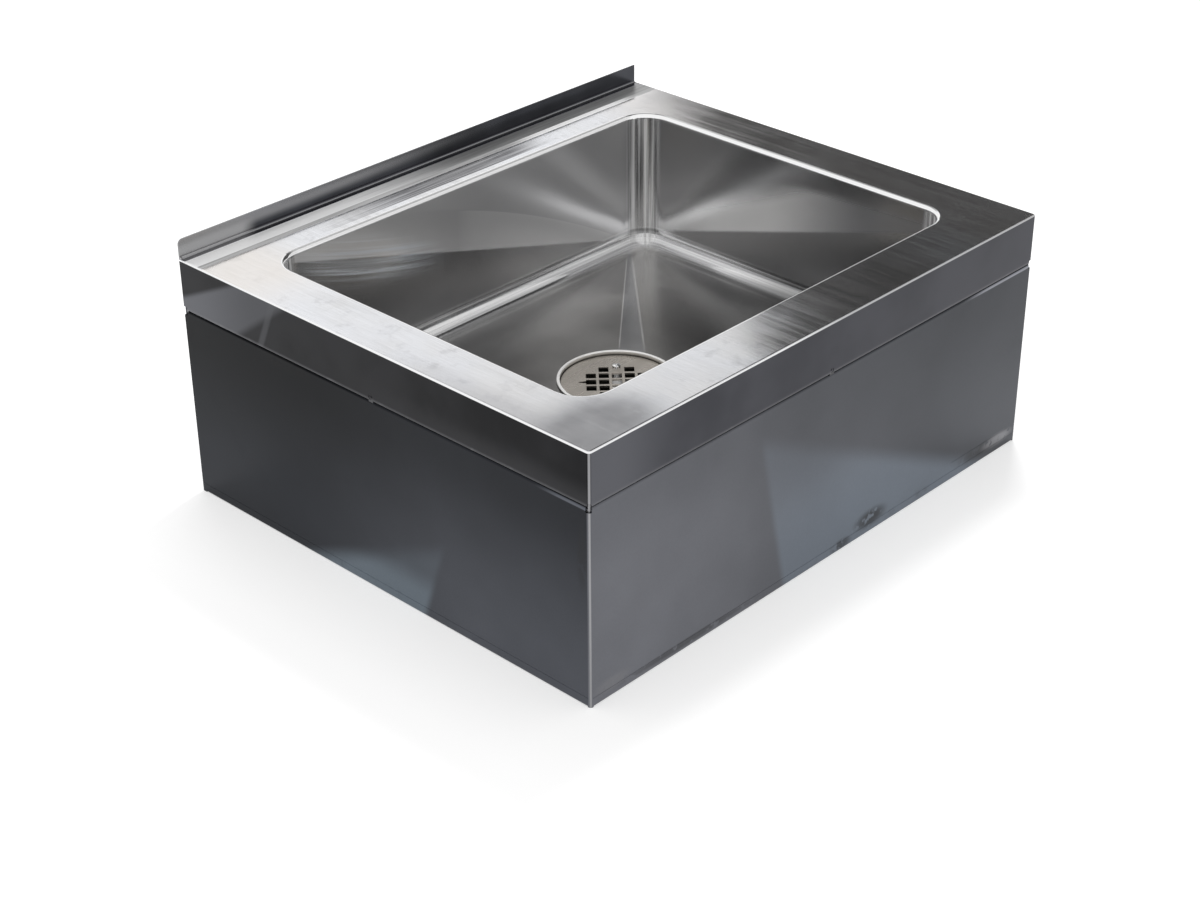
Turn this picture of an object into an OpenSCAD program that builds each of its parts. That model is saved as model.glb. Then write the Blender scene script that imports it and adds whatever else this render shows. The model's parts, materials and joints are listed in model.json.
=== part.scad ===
// Floor-standing mop service sink: a pressed bowl welded into a folded deck, four
// skirt panels down to the floor, and a drain with a lift-out strainer plate.
// Units are millimetres. The origin is the centre of the footprint on the floor,
// +X runs along the long front side, +Y to the rear and +Z up.

/* [Overall] */
// Width of the sink, left to right
sink_w = 635; // [580:5:760]
// Depth of the sink, front to rear
sink_d = 533.4; // [480:0.1:640]
// Height of the deck above the floor
deck_h = 254; // [228:1:320]
// Height of the bowl's floor, along its edge, above the floor of the room
floor_h = 101.6; // [92:0.1:130]
// Height of the rear upstand above the deck
upstand_h = 20; // [12:1:60]
// How far the upstand stops short of the right edge
upstand_gap = 2.5; // [0.5:0.5:6]
// Radius of the upstand's top left corner
upstand_corner_r = 5.5; // [2:0.5:9]

/* [Deck] */
// Width of the deck strip left and right of the bowl
side_strip = 54; // [46:1:80]
// Width of the deck strip in front of the bowl
front_strip = 58.2; // [50:0.2:80]
// Width of the deck strip behind the bowl
rear_strip = 62.2; // [56:0.2:90]
// Height of the deck's apron, down to its seam with the skirt panels
apron_h = 53; // [40:1:68]

/* [Sheet metal] */
// Thickness of the deck sheet
deck_t = 1.5; // [1:0.1:1.9]
// Thickness of the skirt sheets
skirt_t = 1.5; // [1:0.1:1.9]
// Thickness of the bowl sheet
bowl_t = 1.5; // [1:0.1:2.2]
// Outer bend radius along the deck's edges
edge_r = 2; // [2:0.1:2.8]
// Outer radius of the upright corners
corner_r = 3; // [3:0.1:5]
// Outer radius of the folds that meet in the seam
seam_r = 2; // [2:0.1:4]
// Inner radius of the fold at the foot of the upstand
upstand_r = 2.5; // [1:0.1:4]
// Width of the flanges folded inwards at the seam
seam_flange = 18; // [12:1:24]
// Width of the flanges folded inwards at the floor
base_flange = 25; // [16:1:34]
// Outer bend radius at the floor
base_r = 2; // [2:0.1:3]
// Height of the hem strip at the foot of the front skirt
hem_h = 20; // [12:1:30]

/* [Bowl] */
// Radius of the rolled rim round the bowl
rim_r = 4.5; // [3:0.1:7]
// Radius of the bowl's upright corners
bowl_corner_r = 30; // [24:1:50]
// Radius of the cove between walls and floor
cove_r = 19; // [10:0.5:22]
// Fall of the bowl's floor from its edge to the drain's centre
floor_fall = 4.7; // [3:0.1:8]
// How far the flat between the two creases rises over their meeting line
crease_rise = 0.25; // [0.1:0.05:0.6]

/* [Drain] */
// Outer radius of the lip round the drain
lip_r = 60.7; // [56:0.1:66]
// Width of the lip
lip_w = 3.5; // [2.5:0.1:5]
// Thickness of the lip
lip_t = 2; // [1.5:0.1:3]
// Depth of the pressed seat that the drain sits in, below the drain's floor point
seat_drop = 5.4; // [4.5:0.1:8]
// Outer radius of the drain cup
cup_r = 44.4; // [41:0.1:46]
// Wall of the drain cup
cup_wall = 2.4; // [1.8:0.1:3]
// Height of the drain cup
cup_h = 40; // [36:1:44]
// Radius of the threaded spigot below the cup
spigot_r = 24.1; // [22:0.1:26]
// Length of the spigot
spigot_l = 18; // [15:1:20]
// Outer radius of the tailpiece
tail_r = 19.05; // [15:0.05:19.5]
// Wall of the tailpiece
tail_wall = 1.25; // [0.8:0.05:2]
// Length of the tailpiece below its flange
tail_l = 23; // [16:1:27]

/* [Strainer] */
// Thickness of the strainer plate
plate_t = 2; // [1.5:0.1:3]
// Side of the square holes
grid_hole = 10; // [7:0.2:11]
// Distance between the middles of the holes
grid_pitch = 13; // [11.5:0.5:14]
// Length of the tapered slots at the two ends of the middle row
slot_l = 8; // [4:0.5:11]
// Diameter of the screw heads
screw_head_d = 8.4; // [7:0.2:10]
// Height of the screw heads
screw_head_h = 6; // [4:0.2:7]
// Diameter of the screw threads
screw_d = 5; // [4:0.2:6]

/* [Hidden] */
$fn = 96;

// Clearances and cuts
over = 1;                 // how far a cut runs past the metal
run_gap = 0.08;           // radial gap of the screws in the crossbar
rest_gap = 0.3;           // gap under the plate, which lifts out
fit_gap = 0.3;            // gap between fixed pieces that slide together

// Deck
half_w = sink_w / 2;
half_d = sink_d / 2;
seam_z = deck_h - apron_h;
upstand_out_r = upstand_r + deck_t;

// Corner relief where the seam's folds meet the upright corners; the front left one is
// only as wide as the round corner
relief = 4.5;
relief_low = seam_z - 5;
relief_high = seam_z + 4;
fold_start = 0.5;         // how far from the round corner the folds begin
rear_fold_end = 5;        // how far from the rear the side folds end
foot_end = 5;             // height of the square foot beside the floor fold
flange_stub = 1;          // square start of a flange, before its mitre

// Bowl: the opening is what the deck strips leave
open_x = half_w - side_strip;
open_front = -half_d + front_strip;
open_rear = half_d - rear_strip;
bowl_y = (open_front + open_rear) / 2;
open_y = (open_rear - open_front) / 2;
wall_x = open_x - rim_r;
wall_y = open_y - rim_r;
corner_x = wall_x - bowl_corner_r;
corner_y = wall_y - bowl_corner_r;
floor_x = wall_x - cove_r;
floor_y = wall_y - cove_r;
floor_corner_r = bowl_corner_r - cove_r;
floor_z = floor_h;
apex_z = floor_z - floor_fall;
floor_border = floor_corner_r / 2;
floor_lap = floor_border / 2;
pitch_start = 0.5;
pitch_x = floor_x - floor_lap + pitch_start;
pitch_y = floor_y - floor_lap + pitch_start;
fall_x = floor_fall / pitch_x;
fall_y = floor_fall / pitch_y;
crease_end = 0.01;
fall_d = (floor_fall - crease_rise - crease_end) / norm([pitch_x, pitch_y]);
diagonal_turn = atan2(pitch_y, pitch_x);

// Drain levels, from the pressed seat in the bowl
gasket_t = 1;
flange_t = 1.5;
lip_over = 0.7;
recess_r = lip_r - lip_over;
lip_in_r = lip_r - lip_w;
lip_gap = 0.2;
lip_z = apex_z + max(fall_x, fall_y) * lip_r + lip_gap;
seat_z = apex_z - seat_drop;
flange_z = seat_z + gasket_t;
flange_top = flange_z + flange_t;
flange_gap = 0.6;
flange_out_r = recess_r - flange_gap;
plate_z = flange_top + rest_gap;
plate_gap = 0.6;
plate_r = lip_in_r - plate_gap;
cup_z = flange_z - cup_h;
cup_cone_h = 8;
spigot_z = cup_z - spigot_l;
spigot_wall = 4.1;
spigot_in_r = spigot_r - spigot_wall;
cup_in_r = cup_r - cup_wall;
ledge_drop = 8;
ledge_w = 2;
ledge_r = cup_in_r - ledge_w;
ledge_z = flange_z - ledge_drop + flange_t;
drain_hole_gap = 0.8;
drain_hole_r = cup_r + drain_hole_gap;
thread_depth = 0.6;
thread_pitch = 2;

// Washers, ring and nut under the bowl
seal_t = 3;
friction_t = 1.5;
seal_z = seat_z - bowl_t - seal_t;
friction_z = seal_z - friction_t;
lock_nut_h = 11;
lock_nut_z = friction_z - lock_nut_h;
lock_nut_w = 7.6;
lock_nut_r = cup_r + lock_nut_w;
seal_out = 2;
friction_out = 1;
lug_count = 6;
lug_w = 14;
lug_out = 4;

// Tailpiece joint
tail_washer_t = 2;
tail_flange_t = 1.5;
tail_washer_z = spigot_z - tail_washer_t;
tail_flange_z = tail_washer_z - tail_flange_t;
tail_flange_in = 1.5;
tail_flange_r = spigot_r - tail_flange_in;
tail_end_z = tail_flange_z - tail_l;
tail_neck = 0.4;
tail_neck_l = 4;
tail_neck_z = tail_flange_z - tail_neck_l;
coupling_lip = 3;
coupling_reach = 11.5;
coupling_wall = 5;
coupling_z = tail_flange_z - coupling_lip;
coupling_top = spigot_z + coupling_reach;
coupling_r = spigot_r + coupling_wall;
coupling_sides = 8;

// Strainer
grid_turn = 45;
grid_reach = 2;
screw_place = grid_reach * grid_pitch;
slot_wide = 5;
slot_narrow = 2;
crossbar_w = 11;
crossbar_t = 3;
screw_tip = 2;
slot_cut_w = 1.2;
slot_cut_h = 2;

// Corner angles, deck channels and pads
angle_leg = 22;
angle_t = 1.5;
angle_low = base_r + 1;
angle_drop = 4.5;
angle_high = deck_h - deck_t - angle_drop;
channel_inset = 34;
channel_l = 2 * (open_x - channel_inset);
channel_depth = 12;
channel_web = 14;
channel_brim = 8;
channel_t = 1.5;
pad_t = 3;
pad_l = 110;
pad_w = 150;
pad_edge = 15;

// Marks of the welds that tie apron and skirt, one at the middle of each side
weld_l = 6;
weld_mark_r = 2.5;
weld_mark_in_r = 1.3;
weld_mark_cut = 0.3;
weld_mark_rise = 2;
weld_mark_z = seam_z + seam_r + weld_mark_rise;

// Faint creases along the foot, and the small notch in the front right corner
crease_cut = 0.15;
crease_h = 0.5;
hem_fold_z = 9.5;
hem_strip_l = 109;
hem_strip_end = 12;
corner_notch = 2.5;

// A quarter of a ring about the origin, between the +X and +Y directions
module quarter_ring(outer_r, inner_r) {
    intersection() {
        difference() {
            circle(r = outer_r);
            if (inner_r > 0) circle(r = inner_r);
        }
        square(outer_r);
    }
}

// A rectangle with round corners, centred on the origin, from squares and circles
module round_rect(half_x, half_y, r) {
    square([2 * half_x, 2 * (half_y - r)], center = true);
    square([2 * (half_x - r), 2 * half_y], center = true);
    for (x = [-1, 1], y = [-1, 1])
        translate([x * (half_x - r), y * (half_y - r)]) circle(r = r);
}

// A profile drawn as (depth, height), run along X from one place to another
module along(from, to) {
    translate([from, 0, 0])
        rotate([90, 0, 90])
            linear_extrude(height = to - from) children();
}

// A flange folded inwards, mitred at both ends
module mitred_flange(from, to, start, width, low, t) {
    run = width - start;
    translate([0, 0, low])
        linear_extrude(height = t)
            polygon([[from, start], [to, start], [to - run, width], [from + run, width]]);
}

// Sides of the box: each child is drawn with its outer face on Y = 0, depth along +Y
module on_front() { translate([0, -half_d, 0]) children(); }
module on_rear() { translate([0, half_d, 0]) rotate([0, 0, 180]) children(); }
module on_right() { translate([half_w, 0, 0]) rotate([0, 0, 90]) children(); }
module on_left() { mirror([1, 0, 0]) on_right() children(); }

// The open notch that the seam's folds leave at each upright corner
module corner_reliefs() {
    for (x = [-1, 1], y = [-1, 1]) {
        width = 2 * (x + y < -1 ? corner_r : relief);
        translate([x * half_w, y * half_d, (relief_low + relief_high) / 2])
            cube([width, width, relief_high - relief_low], center = true);
    }
}

// ---------------------------------------------------------------- deck and skirt

// The deck's turned-down edge on one side; its fold runs from fold_from to fold_to
module apron(from, to, fold_from, fold_to) {
    leg_low = seam_z + seam_r;
    along(from, to) {
        translate([0, leg_low]) square([deck_t, deck_h - edge_r - leg_low]);
        translate([edge_r, deck_h - edge_r]) mirror([1, 0]) quarter_ring(edge_r, edge_r - deck_t);
    }
    along(fold_from, fold_to) {
        translate([0, leg_low]) square([deck_t, relief]);
        translate([seam_r, leg_low]) rotate([0, 0, 180]) quarter_ring(seam_r, seam_r - deck_t);
        translate([seam_r, seam_z]) square([flange_stub, deck_t]);
    }
    mitred_flange(fold_from, fold_to, seam_r, seam_flange, seam_z, deck_t);
}

// The round upright corner of the deck's edge, at its front right
module deck_corner() {
    translate([half_w - corner_r, -half_d + corner_r, 0])
        rotate([0, 0, -90])
            rotate_extrude(angle = 90) {
                translate([corner_r - deck_t, seam_z + seam_r])
                    square([deck_t, deck_h - edge_r - seam_z - seam_r]);
                translate([corner_r - edge_r, deck_h - edge_r]) quarter_ring(edge_r, edge_r - deck_t);
                translate([0, deck_h - deck_t]) square([corner_r - edge_r, deck_t]);
            }
}

// The sheet between the folds: its round corners are left to deck_corner
module deck_outline() {
    difference() {
        translate([-half_w + edge_r, -half_d + edge_r])
            square([sink_w - 2 * edge_r, sink_d - edge_r - upstand_out_r]);
        for (x = [-1, 1])
            translate([x * half_w, -half_d]) square(2 * corner_r, center = true);
    }
}

module upstand() {
    leg_low = deck_h + upstand_r;
    leg_high = deck_h + upstand_h;
    right_end = half_w - upstand_gap;
    difference() {
        along(-half_w, right_end) {
            translate([half_d - upstand_out_r, leg_low])
                mirror([0, 1]) quarter_ring(upstand_out_r, upstand_r);
            translate([half_d - deck_t, leg_low]) square([deck_t, leg_high - leg_low]);
        }
        translate([-half_w, half_d + over, leg_high])
            rotate([90, 0, 0])
                linear_extrude(height = deck_t + 2 * over)
                    difference() {
                        square(2 * upstand_corner_r, center = true);
                        translate([upstand_corner_r, -upstand_corner_r])
                            circle(r = upstand_corner_r);
                        translate([upstand_corner_r, -3 * upstand_corner_r])
                            square(4 * upstand_corner_r);
                    }
    }
}

// A shallow ring pressed into the apron where a weld holds it
module weld_mark() {
    translate([0, weld_mark_cut, weld_mark_z])
        rotate([90, 0, 0])
            linear_extrude(height = weld_mark_cut + over)
                difference() {
                    circle(r = weld_mark_r);
                    circle(r = weld_mark_in_r);
                }
}

module deck_top() {
    side_from = -half_d + corner_r;
    front_to = half_w - corner_r;
    color("gainsboro")
        difference() {
            union() {
                translate([0, 0, deck_h - deck_t])
                    linear_extrude(height = deck_t)
                        difference() {
                            deck_outline();
                            translate([0, bowl_y])
                                round_rect(open_x, open_y, bowl_corner_r + rim_r);
                        }
                // the sheet runs on beside the short end of the upstand
                translate([half_w - upstand_gap, half_d - upstand_out_r, deck_h - deck_t])
                    cube([upstand_gap - edge_r, upstand_out_r, deck_t]);
                on_front() apron(-front_to, front_to, -front_to + fold_start, front_to - fold_start);
                on_right() apron(side_from, half_d, side_from + fold_start, half_d - rear_fold_end);
                on_left() apron(side_from, half_d, side_from + fold_start, half_d - rear_fold_end);
                deck_corner();
                mirror([1, 0, 0]) deck_corner();
                upstand();
                // the left apron closes the end of the upstand's fold
                translate([-half_w, half_d - upstand_out_r, deck_h - edge_r])
                    cube([deck_t, upstand_out_r, edge_r + upstand_r]);
            }
            corner_reliefs();
            on_front() weld_mark();
            on_right() weld_mark();
            on_left() weld_mark();
        }
}

// One upright skirt panel with its folds; high is the level of its top flange
module skirt_panel(from, to, fold_from, fold_to, high, top_width) {
    leg_high = high - seam_r;
    along(from, to)
        translate([0, base_r]) square([skirt_t, leg_high - base_r]);
    along(fold_from, fold_to) {
        translate([0, base_r]) square([skirt_t, leg_high - base_r]);
        translate([seam_r, leg_high]) mirror([1, 0]) quarter_ring(seam_r, seam_r - skirt_t);
        translate([seam_r, high - skirt_t]) square([flange_stub, skirt_t]);
        translate([base_r, base_r]) rotate([0, 0, 180]) quarter_ring(base_r, base_r - skirt_t);
        translate([base_r, 0]) square([flange_stub, skirt_t]);
    }
    translate([from, 0, 0]) cube([fold_from - from, skirt_t, foot_end]);
    translate([fold_to, 0, 0]) cube([to - fold_to, skirt_t, foot_end]);
    mitred_flange(fold_from, fold_to, seam_r, top_width, high - skirt_t, skirt_t);
    mitred_flange(fold_from, fold_to, base_r, base_flange, 0, skirt_t);
}

// A faint crease along the foot of a panel
module hem_crease(from, to, height) {
    translate([from, -over, height - crease_h / 2])
        cube([to - from, over + crease_cut, crease_h]);
}

// The round upright corner of the skirt, at its front right
module skirt_corner() {
    translate([half_w - corner_r, -half_d + corner_r, 0])
        rotate([0, 0, -90])
            linear_extrude(height = seam_z - seam_r)
                quarter_ring(corner_r, corner_r - skirt_t);
}

module front_skirt() {
    front_to = half_w - corner_r;
    color("dimgray")
        difference() {
            union() {
                on_front()
                    skirt_panel(-front_to, front_to, -front_to + fold_start, front_to - fold_start,
                                seam_z, seam_flange);
                skirt_corner();
                mirror([1, 0, 0]) skirt_corner();
            }
            corner_reliefs();
            on_front() hem_crease(-front_to, front_to, hem_fold_z);
            on_front() hem_crease(front_to - hem_strip_l, front_to - hem_strip_end, hem_h);
            translate([half_w, -half_d, hem_h])
                rotate([0, 0, 45])
                    rotate([0, 45, 0]) cube([corner_notch, 4 * corner_notch, corner_notch], center = true);
        }
}

module side_skirt() {
    side_from = -half_d + corner_r;
    difference() {
        on_right()
            skirt_panel(side_from, half_d, side_from + fold_start, half_d - rear_fold_end,
                        seam_z, seam_flange);
        corner_reliefs();
        on_right() hem_crease(side_from, half_d, hem_fold_z);
    }
}

module left_skirt() { color("slategray") mirror([1, 0, 0]) side_skirt(); }
module right_skirt() { color("slategray") side_skirt(); }

// The rear panel stands between the side panels and reaches up to the deck
module rear_skirt() {
    reach = half_w - skirt_t;
    fold_reach = reach - rear_fold_end;
    color("gray")
        on_rear()
            skirt_panel(-reach, reach, -fold_reach, fold_reach, deck_h - deck_t, seam_flange);
}

// An angle in an upright corner, notched round the folds of the seam; front right
module corner_angle(y_side) {
    fold_at = y_side > 0 ? rear_fold_end : corner_r + fold_start;
    notch_from = fold_at - skirt_t - fit_gap;
    color("darkgray")
        translate([half_w - skirt_t, y_side * (half_d - skirt_t), 0])
            mirror([1, 0, 0]) mirror([0, y_side > 0 ? 1 : 0, 0])
                difference() {
                    translate([0, 0, angle_low])
                        linear_extrude(height = angle_high - angle_low) {
                            translate([angle_t, 0]) square([angle_leg - angle_t, angle_t]);
                            translate([0, angle_t]) square([angle_t, angle_leg - angle_t]);
                            translate([angle_t, angle_t]) rotate([0, 0, 180]) quarter_ring(angle_t, 0);
                        }
                    translate([notch_from, -over, seam_z - seam_r - fit_gap])
                        cube([angle_leg, angle_t + 2 * over, 2 * (seam_r + fit_gap)]);
                    translate([-over, notch_from, seam_z - seam_r - fit_gap])
                        cube([angle_t + 2 * over, angle_leg, 2 * (seam_r + fit_gap)]);
                }
}

module front_right_corner_angle() { corner_angle(-1); }
module front_left_corner_angle() { mirror([1, 0, 0]) corner_angle(-1); }
module rear_right_corner_angle() { corner_angle(1); }
module rear_left_corner_angle() { mirror([1, 0, 0]) corner_angle(1); }

// A hat section welded under a deck strip, between the seam's flange and the bowl
module deck_channel(strip) {
    width = channel_web + 2 * channel_brim;
    middle = (seam_flange + strip + rim_r - bowl_t) / 2;
    color("darkgray")
        translate([0, middle - width / 2, deck_h - deck_t - channel_depth])
            along(-channel_l / 2, channel_l / 2)
                difference() {
                    square([width, channel_depth]);
                    translate([-over, -over])
                        square([channel_brim + over, channel_depth - channel_t + over]);
                    translate([width - channel_brim, -over])
                        square([channel_brim + over, channel_depth - channel_t + over]);
                    translate([channel_brim + channel_t, channel_t])
                        square([channel_web - 2 * channel_t, channel_depth]);
                }
}

module front_deck_channel() { on_front() deck_channel(front_strip); }
module rear_deck_channel() { on_rear() deck_channel(rear_strip); }

// A short weld that fills the groove between two folds at the middle of each side
module weld_bead() {
    along(-weld_l / 2, weld_l / 2)
        difference() {
            translate([weld_mark_cut, seam_z - seam_r])
                square([seam_r - weld_mark_cut, 2 * seam_r]);
            translate([seam_r, seam_z + seam_r]) circle(r = seam_r);
            translate([seam_r, seam_z - seam_r]) circle(r = seam_r);
        }
}

module seam_tack_welds() {
    color("silver") {
        on_front() weld_bead();
        on_right() weld_bead();
        on_left() weld_bead();
    }
}

// ---------------------------------------------------------------- bowl

// Section of the bowl's wall about a corner's centre: rolled rim, wall, cove and the
// level border of the floor
module wall_profile() {
    cove_z = floor_z + cove_r;
    translate([bowl_corner_r + rim_r, deck_h - rim_r])
        mirror([1, 0]) quarter_ring(rim_r, rim_r - bowl_t);
    translate([bowl_corner_r, cove_z])
        square([bowl_t, deck_h - rim_r - cove_z]);
    translate([floor_corner_r, cove_z])
        mirror([0, 1]) quarter_ring(cove_r + bowl_t, cove_r);
    translate([floor_corner_r - floor_border, floor_z - bowl_t]) square([floor_border, bowl_t]);
}

// Everything above the pitched floor: an upside-down pyramid with flats on its creases
module above_floor(tip_z) {
    reach = 2 * (floor_x + floor_y);
    module slope(turn, fall, lift) {
        translate([0, 0, tip_z + lift])
            rotate([0, 0, turn])
                rotate([0, -atan(fall), 0])
                    translate([-reach, -reach, 0]) cube([2 * reach, 2 * reach, reach]);
    }
    intersection() {
        slope(0, fall_x, 0);
        slope(180, fall_x, 0);
        slope(90, fall_y, 0);
        slope(270, fall_y, 0);
        slope(diagonal_turn, fall_d, crease_rise);
        slope(180 - diagonal_turn, fall_d, crease_rise);
        slope(180 + diagonal_turn, fall_d, crease_rise);
        slope(-diagonal_turn, fall_d, crease_rise);
    }
}

// The floor that falls to the drain, lapping the level border
module bowl_floor() {
    difference() {
        intersection() {
            translate([0, 0, apex_z - 2 * bowl_t])
                linear_extrude(height = floor_fall + 4 * bowl_t)
                    difference() {
                        round_rect(floor_x - floor_lap, floor_y - floor_lap,
                                   floor_corner_r - floor_lap);
                        circle(r = recess_r);
                    }
            above_floor(apex_z - bowl_t);
        }
        above_floor(apex_z);
    }
}

// The seat pressed into the floor for the drain's flange
module drain_seat() {
    difference() {
        rotate_extrude() {
            translate([drain_hole_r, seat_z - bowl_t])
                square([recess_r + bowl_t - drain_hole_r, bowl_t]);
            translate([recess_r, seat_z - bowl_t])
                square([bowl_t, seat_drop + floor_fall]);
        }
        above_floor(apex_z);
    }
}

module sink_bowl() {
    color("silver")
        translate([0, bowl_y, 0]) {
            for (y = [-1, 1])
                scale([1, y, 1]) translate([0, corner_y, 0])
                    along(-corner_x, corner_x) wall_profile();
            for (x = [-1, 1])
                rotate([0, 0, -90 * x])
                    translate([0, corner_x, 0])
                        along(-corner_y, corner_y) wall_profile();
            for (turn = [0, 180]) {
                rotate([0, 0, turn]) translate([corner_x, corner_y, 0])
                    rotate_extrude(angle = 90) wall_profile();
                rotate([0, 0, turn]) translate([-corner_x, corner_y, 0])
                    rotate([0, 0, 90]) rotate_extrude(angle = 90) wall_profile();
            }
            bowl_floor();
            drain_seat();
        }
}

// A pad stuck to the underside of the floor, parallel with its slope; right hand
module sound_pad() {
    translate([0, bowl_y, apex_z - bowl_t])
        rotate([0, -atan(fall_x), 0])
            translate([floor_x - pad_edge - pad_l, -pad_w / 2, -pad_t])
                cube([pad_l, pad_w, pad_t]);
}

module right_sound_pad() { color("dimgray") sound_pad(); }
module left_sound_pad() { color("dimgray") mirror([1, 0, 0]) sound_pad(); }

// ---------------------------------------------------------------- drain

module at_drain() { translate([0, bowl_y, 0]) children(); }

// A flat ring
module ring(outer_r, inner_r, low, height) {
    translate([0, 0, low])
        linear_extrude(height = height)
            difference() {
                circle(r = outer_r);
                circle(r = inner_r);
            }
}

// Points on an arc about a centre
function arc(centre, r, from, to, steps) =
    [for (i = [0 : steps])
        let (turn = from + (to - from) * i / steps) centre + r * [cos(turn), sin(turn)]];

// Section of lip, flange, cup and spigot; the thread is drawn as rings, crest and root in turn
module drain_profile() {
    lip_mid = lip_t / 2;
    lip_mid_z = lip_z + lip_mid;
    cone_top = cup_z + cup_cone_h;
    threads = floor((friction_z - cone_top - 1) / thread_pitch);
    polygon(concat(
        [[cup_in_r, flange_top], [lip_in_r, flange_top]],
        arc([lip_in_r + lip_mid, lip_mid_z], lip_mid, 180, 90, 5),
        arc([lip_r - lip_mid, lip_mid_z], lip_mid, 90, -90, 10),
        [[lip_in_r + flange_t, lip_z], [lip_in_r + flange_t, flange_top],
         [flange_out_r, flange_top], [flange_out_r, flange_z],
         [cup_r, flange_z], [cup_r, cone_top + threads * thread_pitch]],
        [for (i = [threads - 1 : -1 : 0], part = [0.5, 0])
            [cup_r - (part > 0 ? thread_depth : 0), cone_top + (i + part) * thread_pitch]],
        [[spigot_r, cup_z], [spigot_r, spigot_z], [spigot_in_r, spigot_z],
         [spigot_in_r, cup_z + cup_wall], [ledge_r, cone_top + cup_wall],
         [ledge_r, ledge_z], [cup_in_r, ledge_z]]));
}

module drain_body() {
    color("whitesmoke")
        at_drain()
            rotate_extrude() drain_profile();
}

module flange_gasket() {
    color("black") at_drain() ring(flange_out_r, drain_hole_r, seat_z, gasket_t);
}

module seal_washer() {
    color("black") at_drain() ring(lock_nut_r + seal_out, cup_r + fit_gap, seal_z, seal_t);
}

module friction_ring() {
    color("beige") at_drain() ring(lock_nut_r + friction_out, cup_r + fit_gap, friction_z, friction_t);
}

module lock_nut() {
    color("goldenrod")
        at_drain()
            translate([0, 0, lock_nut_z])
                linear_extrude(height = lock_nut_h)
                    difference() {
                        union() {
                            circle(r = lock_nut_r);
                            for (i = [0 : lug_count - 1])
                                rotate([0, 0, i * 360 / lug_count])
                                    translate([0, -lug_w / 2])
                                        square([lock_nut_r + lug_out, lug_w]);
                        }
                        circle(r = cup_r + fit_gap);
                    }
}

// The bar across the cup, on its ledge, tapped for the two strainer screws
module strainer_crossbar() {
    color("silver")
        at_drain()
            rotate([0, 0, grid_turn])
                difference() {
                    intersection() {
                        translate([-cup_r, -crossbar_w / 2, ledge_z])
                            cube([2 * cup_r, crossbar_w, crossbar_t]);
                        cylinder(r = cup_in_r - fit_gap, h = ledge_z + crossbar_t + over);
                    }
                    for (x = [-1, 1])
                        translate([x * screw_place, 0, ledge_z - over])
                            cylinder(d = screw_d + 2 * run_gap, h = crossbar_t + 2 * over);
                }
}

// The grid lies turned by 45 degrees. Its four corner holes are left out, and the two
// screws stand in for the end holes of one middle row.
module strainer_plate() {
    color("tan")
        at_drain()
            translate([0, 0, plate_z])
                rotate([0, 0, grid_turn])
                    linear_extrude(height = plate_t)
                        difference() {
                            circle(r = plate_r);
                            for (i = [-grid_reach : grid_reach], j = [-grid_reach : grid_reach])
                                if (abs(i) + abs(j) < 2 * grid_reach && !(abs(i) == grid_reach && j == 0))
                                    translate([i, j] * grid_pitch) square(grid_hole, center = true);
                            for (x = [-1, 1])
                                translate([x * screw_place, 0]) circle(d = screw_d + 2 * fit_gap);
                            for (y = [-1, 1])
                                scale([1, y]) translate([0, screw_place + grid_hole / 2 - 0.5])
                                    polygon([[-slot_wide / 2, 0], [slot_wide / 2, 0],
                                             [slot_narrow / 2, slot_l], [-slot_narrow / 2, slot_l]]);
                        }
}

// A slotted cheese-head screw with a slightly domed top
module strainer_screw() {
    head_z = plate_z + plate_t;
    dome_r = screw_head_d;
    difference() {
        union() {
            intersection() {
                translate([0, 0, head_z]) cylinder(d = screw_head_d, h = screw_head_h);
                translate([0, 0, head_z + screw_head_h - dome_r]) sphere(r = dome_r);
            }
            translate([0, 0, ledge_z - screw_tip])
                cylinder(d = screw_d, h = head_z - ledge_z + screw_tip + 0.5);
        }
        translate([-screw_head_d, -slot_cut_w / 2, head_z + screw_head_h - slot_cut_h])
            cube([2 * screw_head_d, slot_cut_w, slot_cut_h + over]);
    }
}

module strainer_screws() {
    color("whitesmoke")
        at_drain()
            rotate([0, 0, grid_turn])
                for (x = [-1, 1])
                    translate([x * screw_place, 0, 0]) strainer_screw();
}

module tailpiece_washer() {
    color("ivory")
        at_drain() ring(tail_flange_r, spigot_in_r, tail_washer_z, tail_washer_t);
}

module coupling_nut() {
    color("lightgray")
        at_drain()
            difference() {
                translate([0, 0, coupling_z])
                    cylinder(r = coupling_r, h = coupling_top - coupling_z, $fn = coupling_sides);
                translate([0, 0, tail_flange_z])
                    cylinder(r = spigot_r + fit_gap, h = coupling_top - tail_flange_z + over);
                translate([0, 0, coupling_z - over])
                    cylinder(r = tail_r + fit_gap, h = coupling_lip + 2 * over);
            }
}

module tailpiece() {
    color("lightgray")
        at_drain()
            rotate_extrude() {
                translate([tail_r - tail_wall, tail_end_z])
                    square([tail_wall, tail_neck_z - tail_end_z]);
                translate([tail_r - tail_wall, tail_end_z])
                    square([tail_wall - tail_neck, tail_washer_z - tail_end_z]);
                translate([tail_r - tail_wall, tail_flange_z])
                    square([tail_flange_r - tail_r + tail_wall, tail_flange_t]);
            }
}

deck_top();
sink_bowl();
front_skirt();
left_skirt();
right_skirt();
rear_skirt();
front_left_corner_angle();
front_right_corner_angle();
rear_left_corner_angle();
rear_right_corner_angle();
front_deck_channel();
rear_deck_channel();
left_sound_pad();
right_sound_pad();
seam_tack_welds();
drain_body();
flange_gasket();
seal_washer();
friction_ring();
lock_nut();
strainer_crossbar();
strainer_plate();
strainer_screws();
tailpiece_washer();
coupling_nut();
tailpiece();
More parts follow.
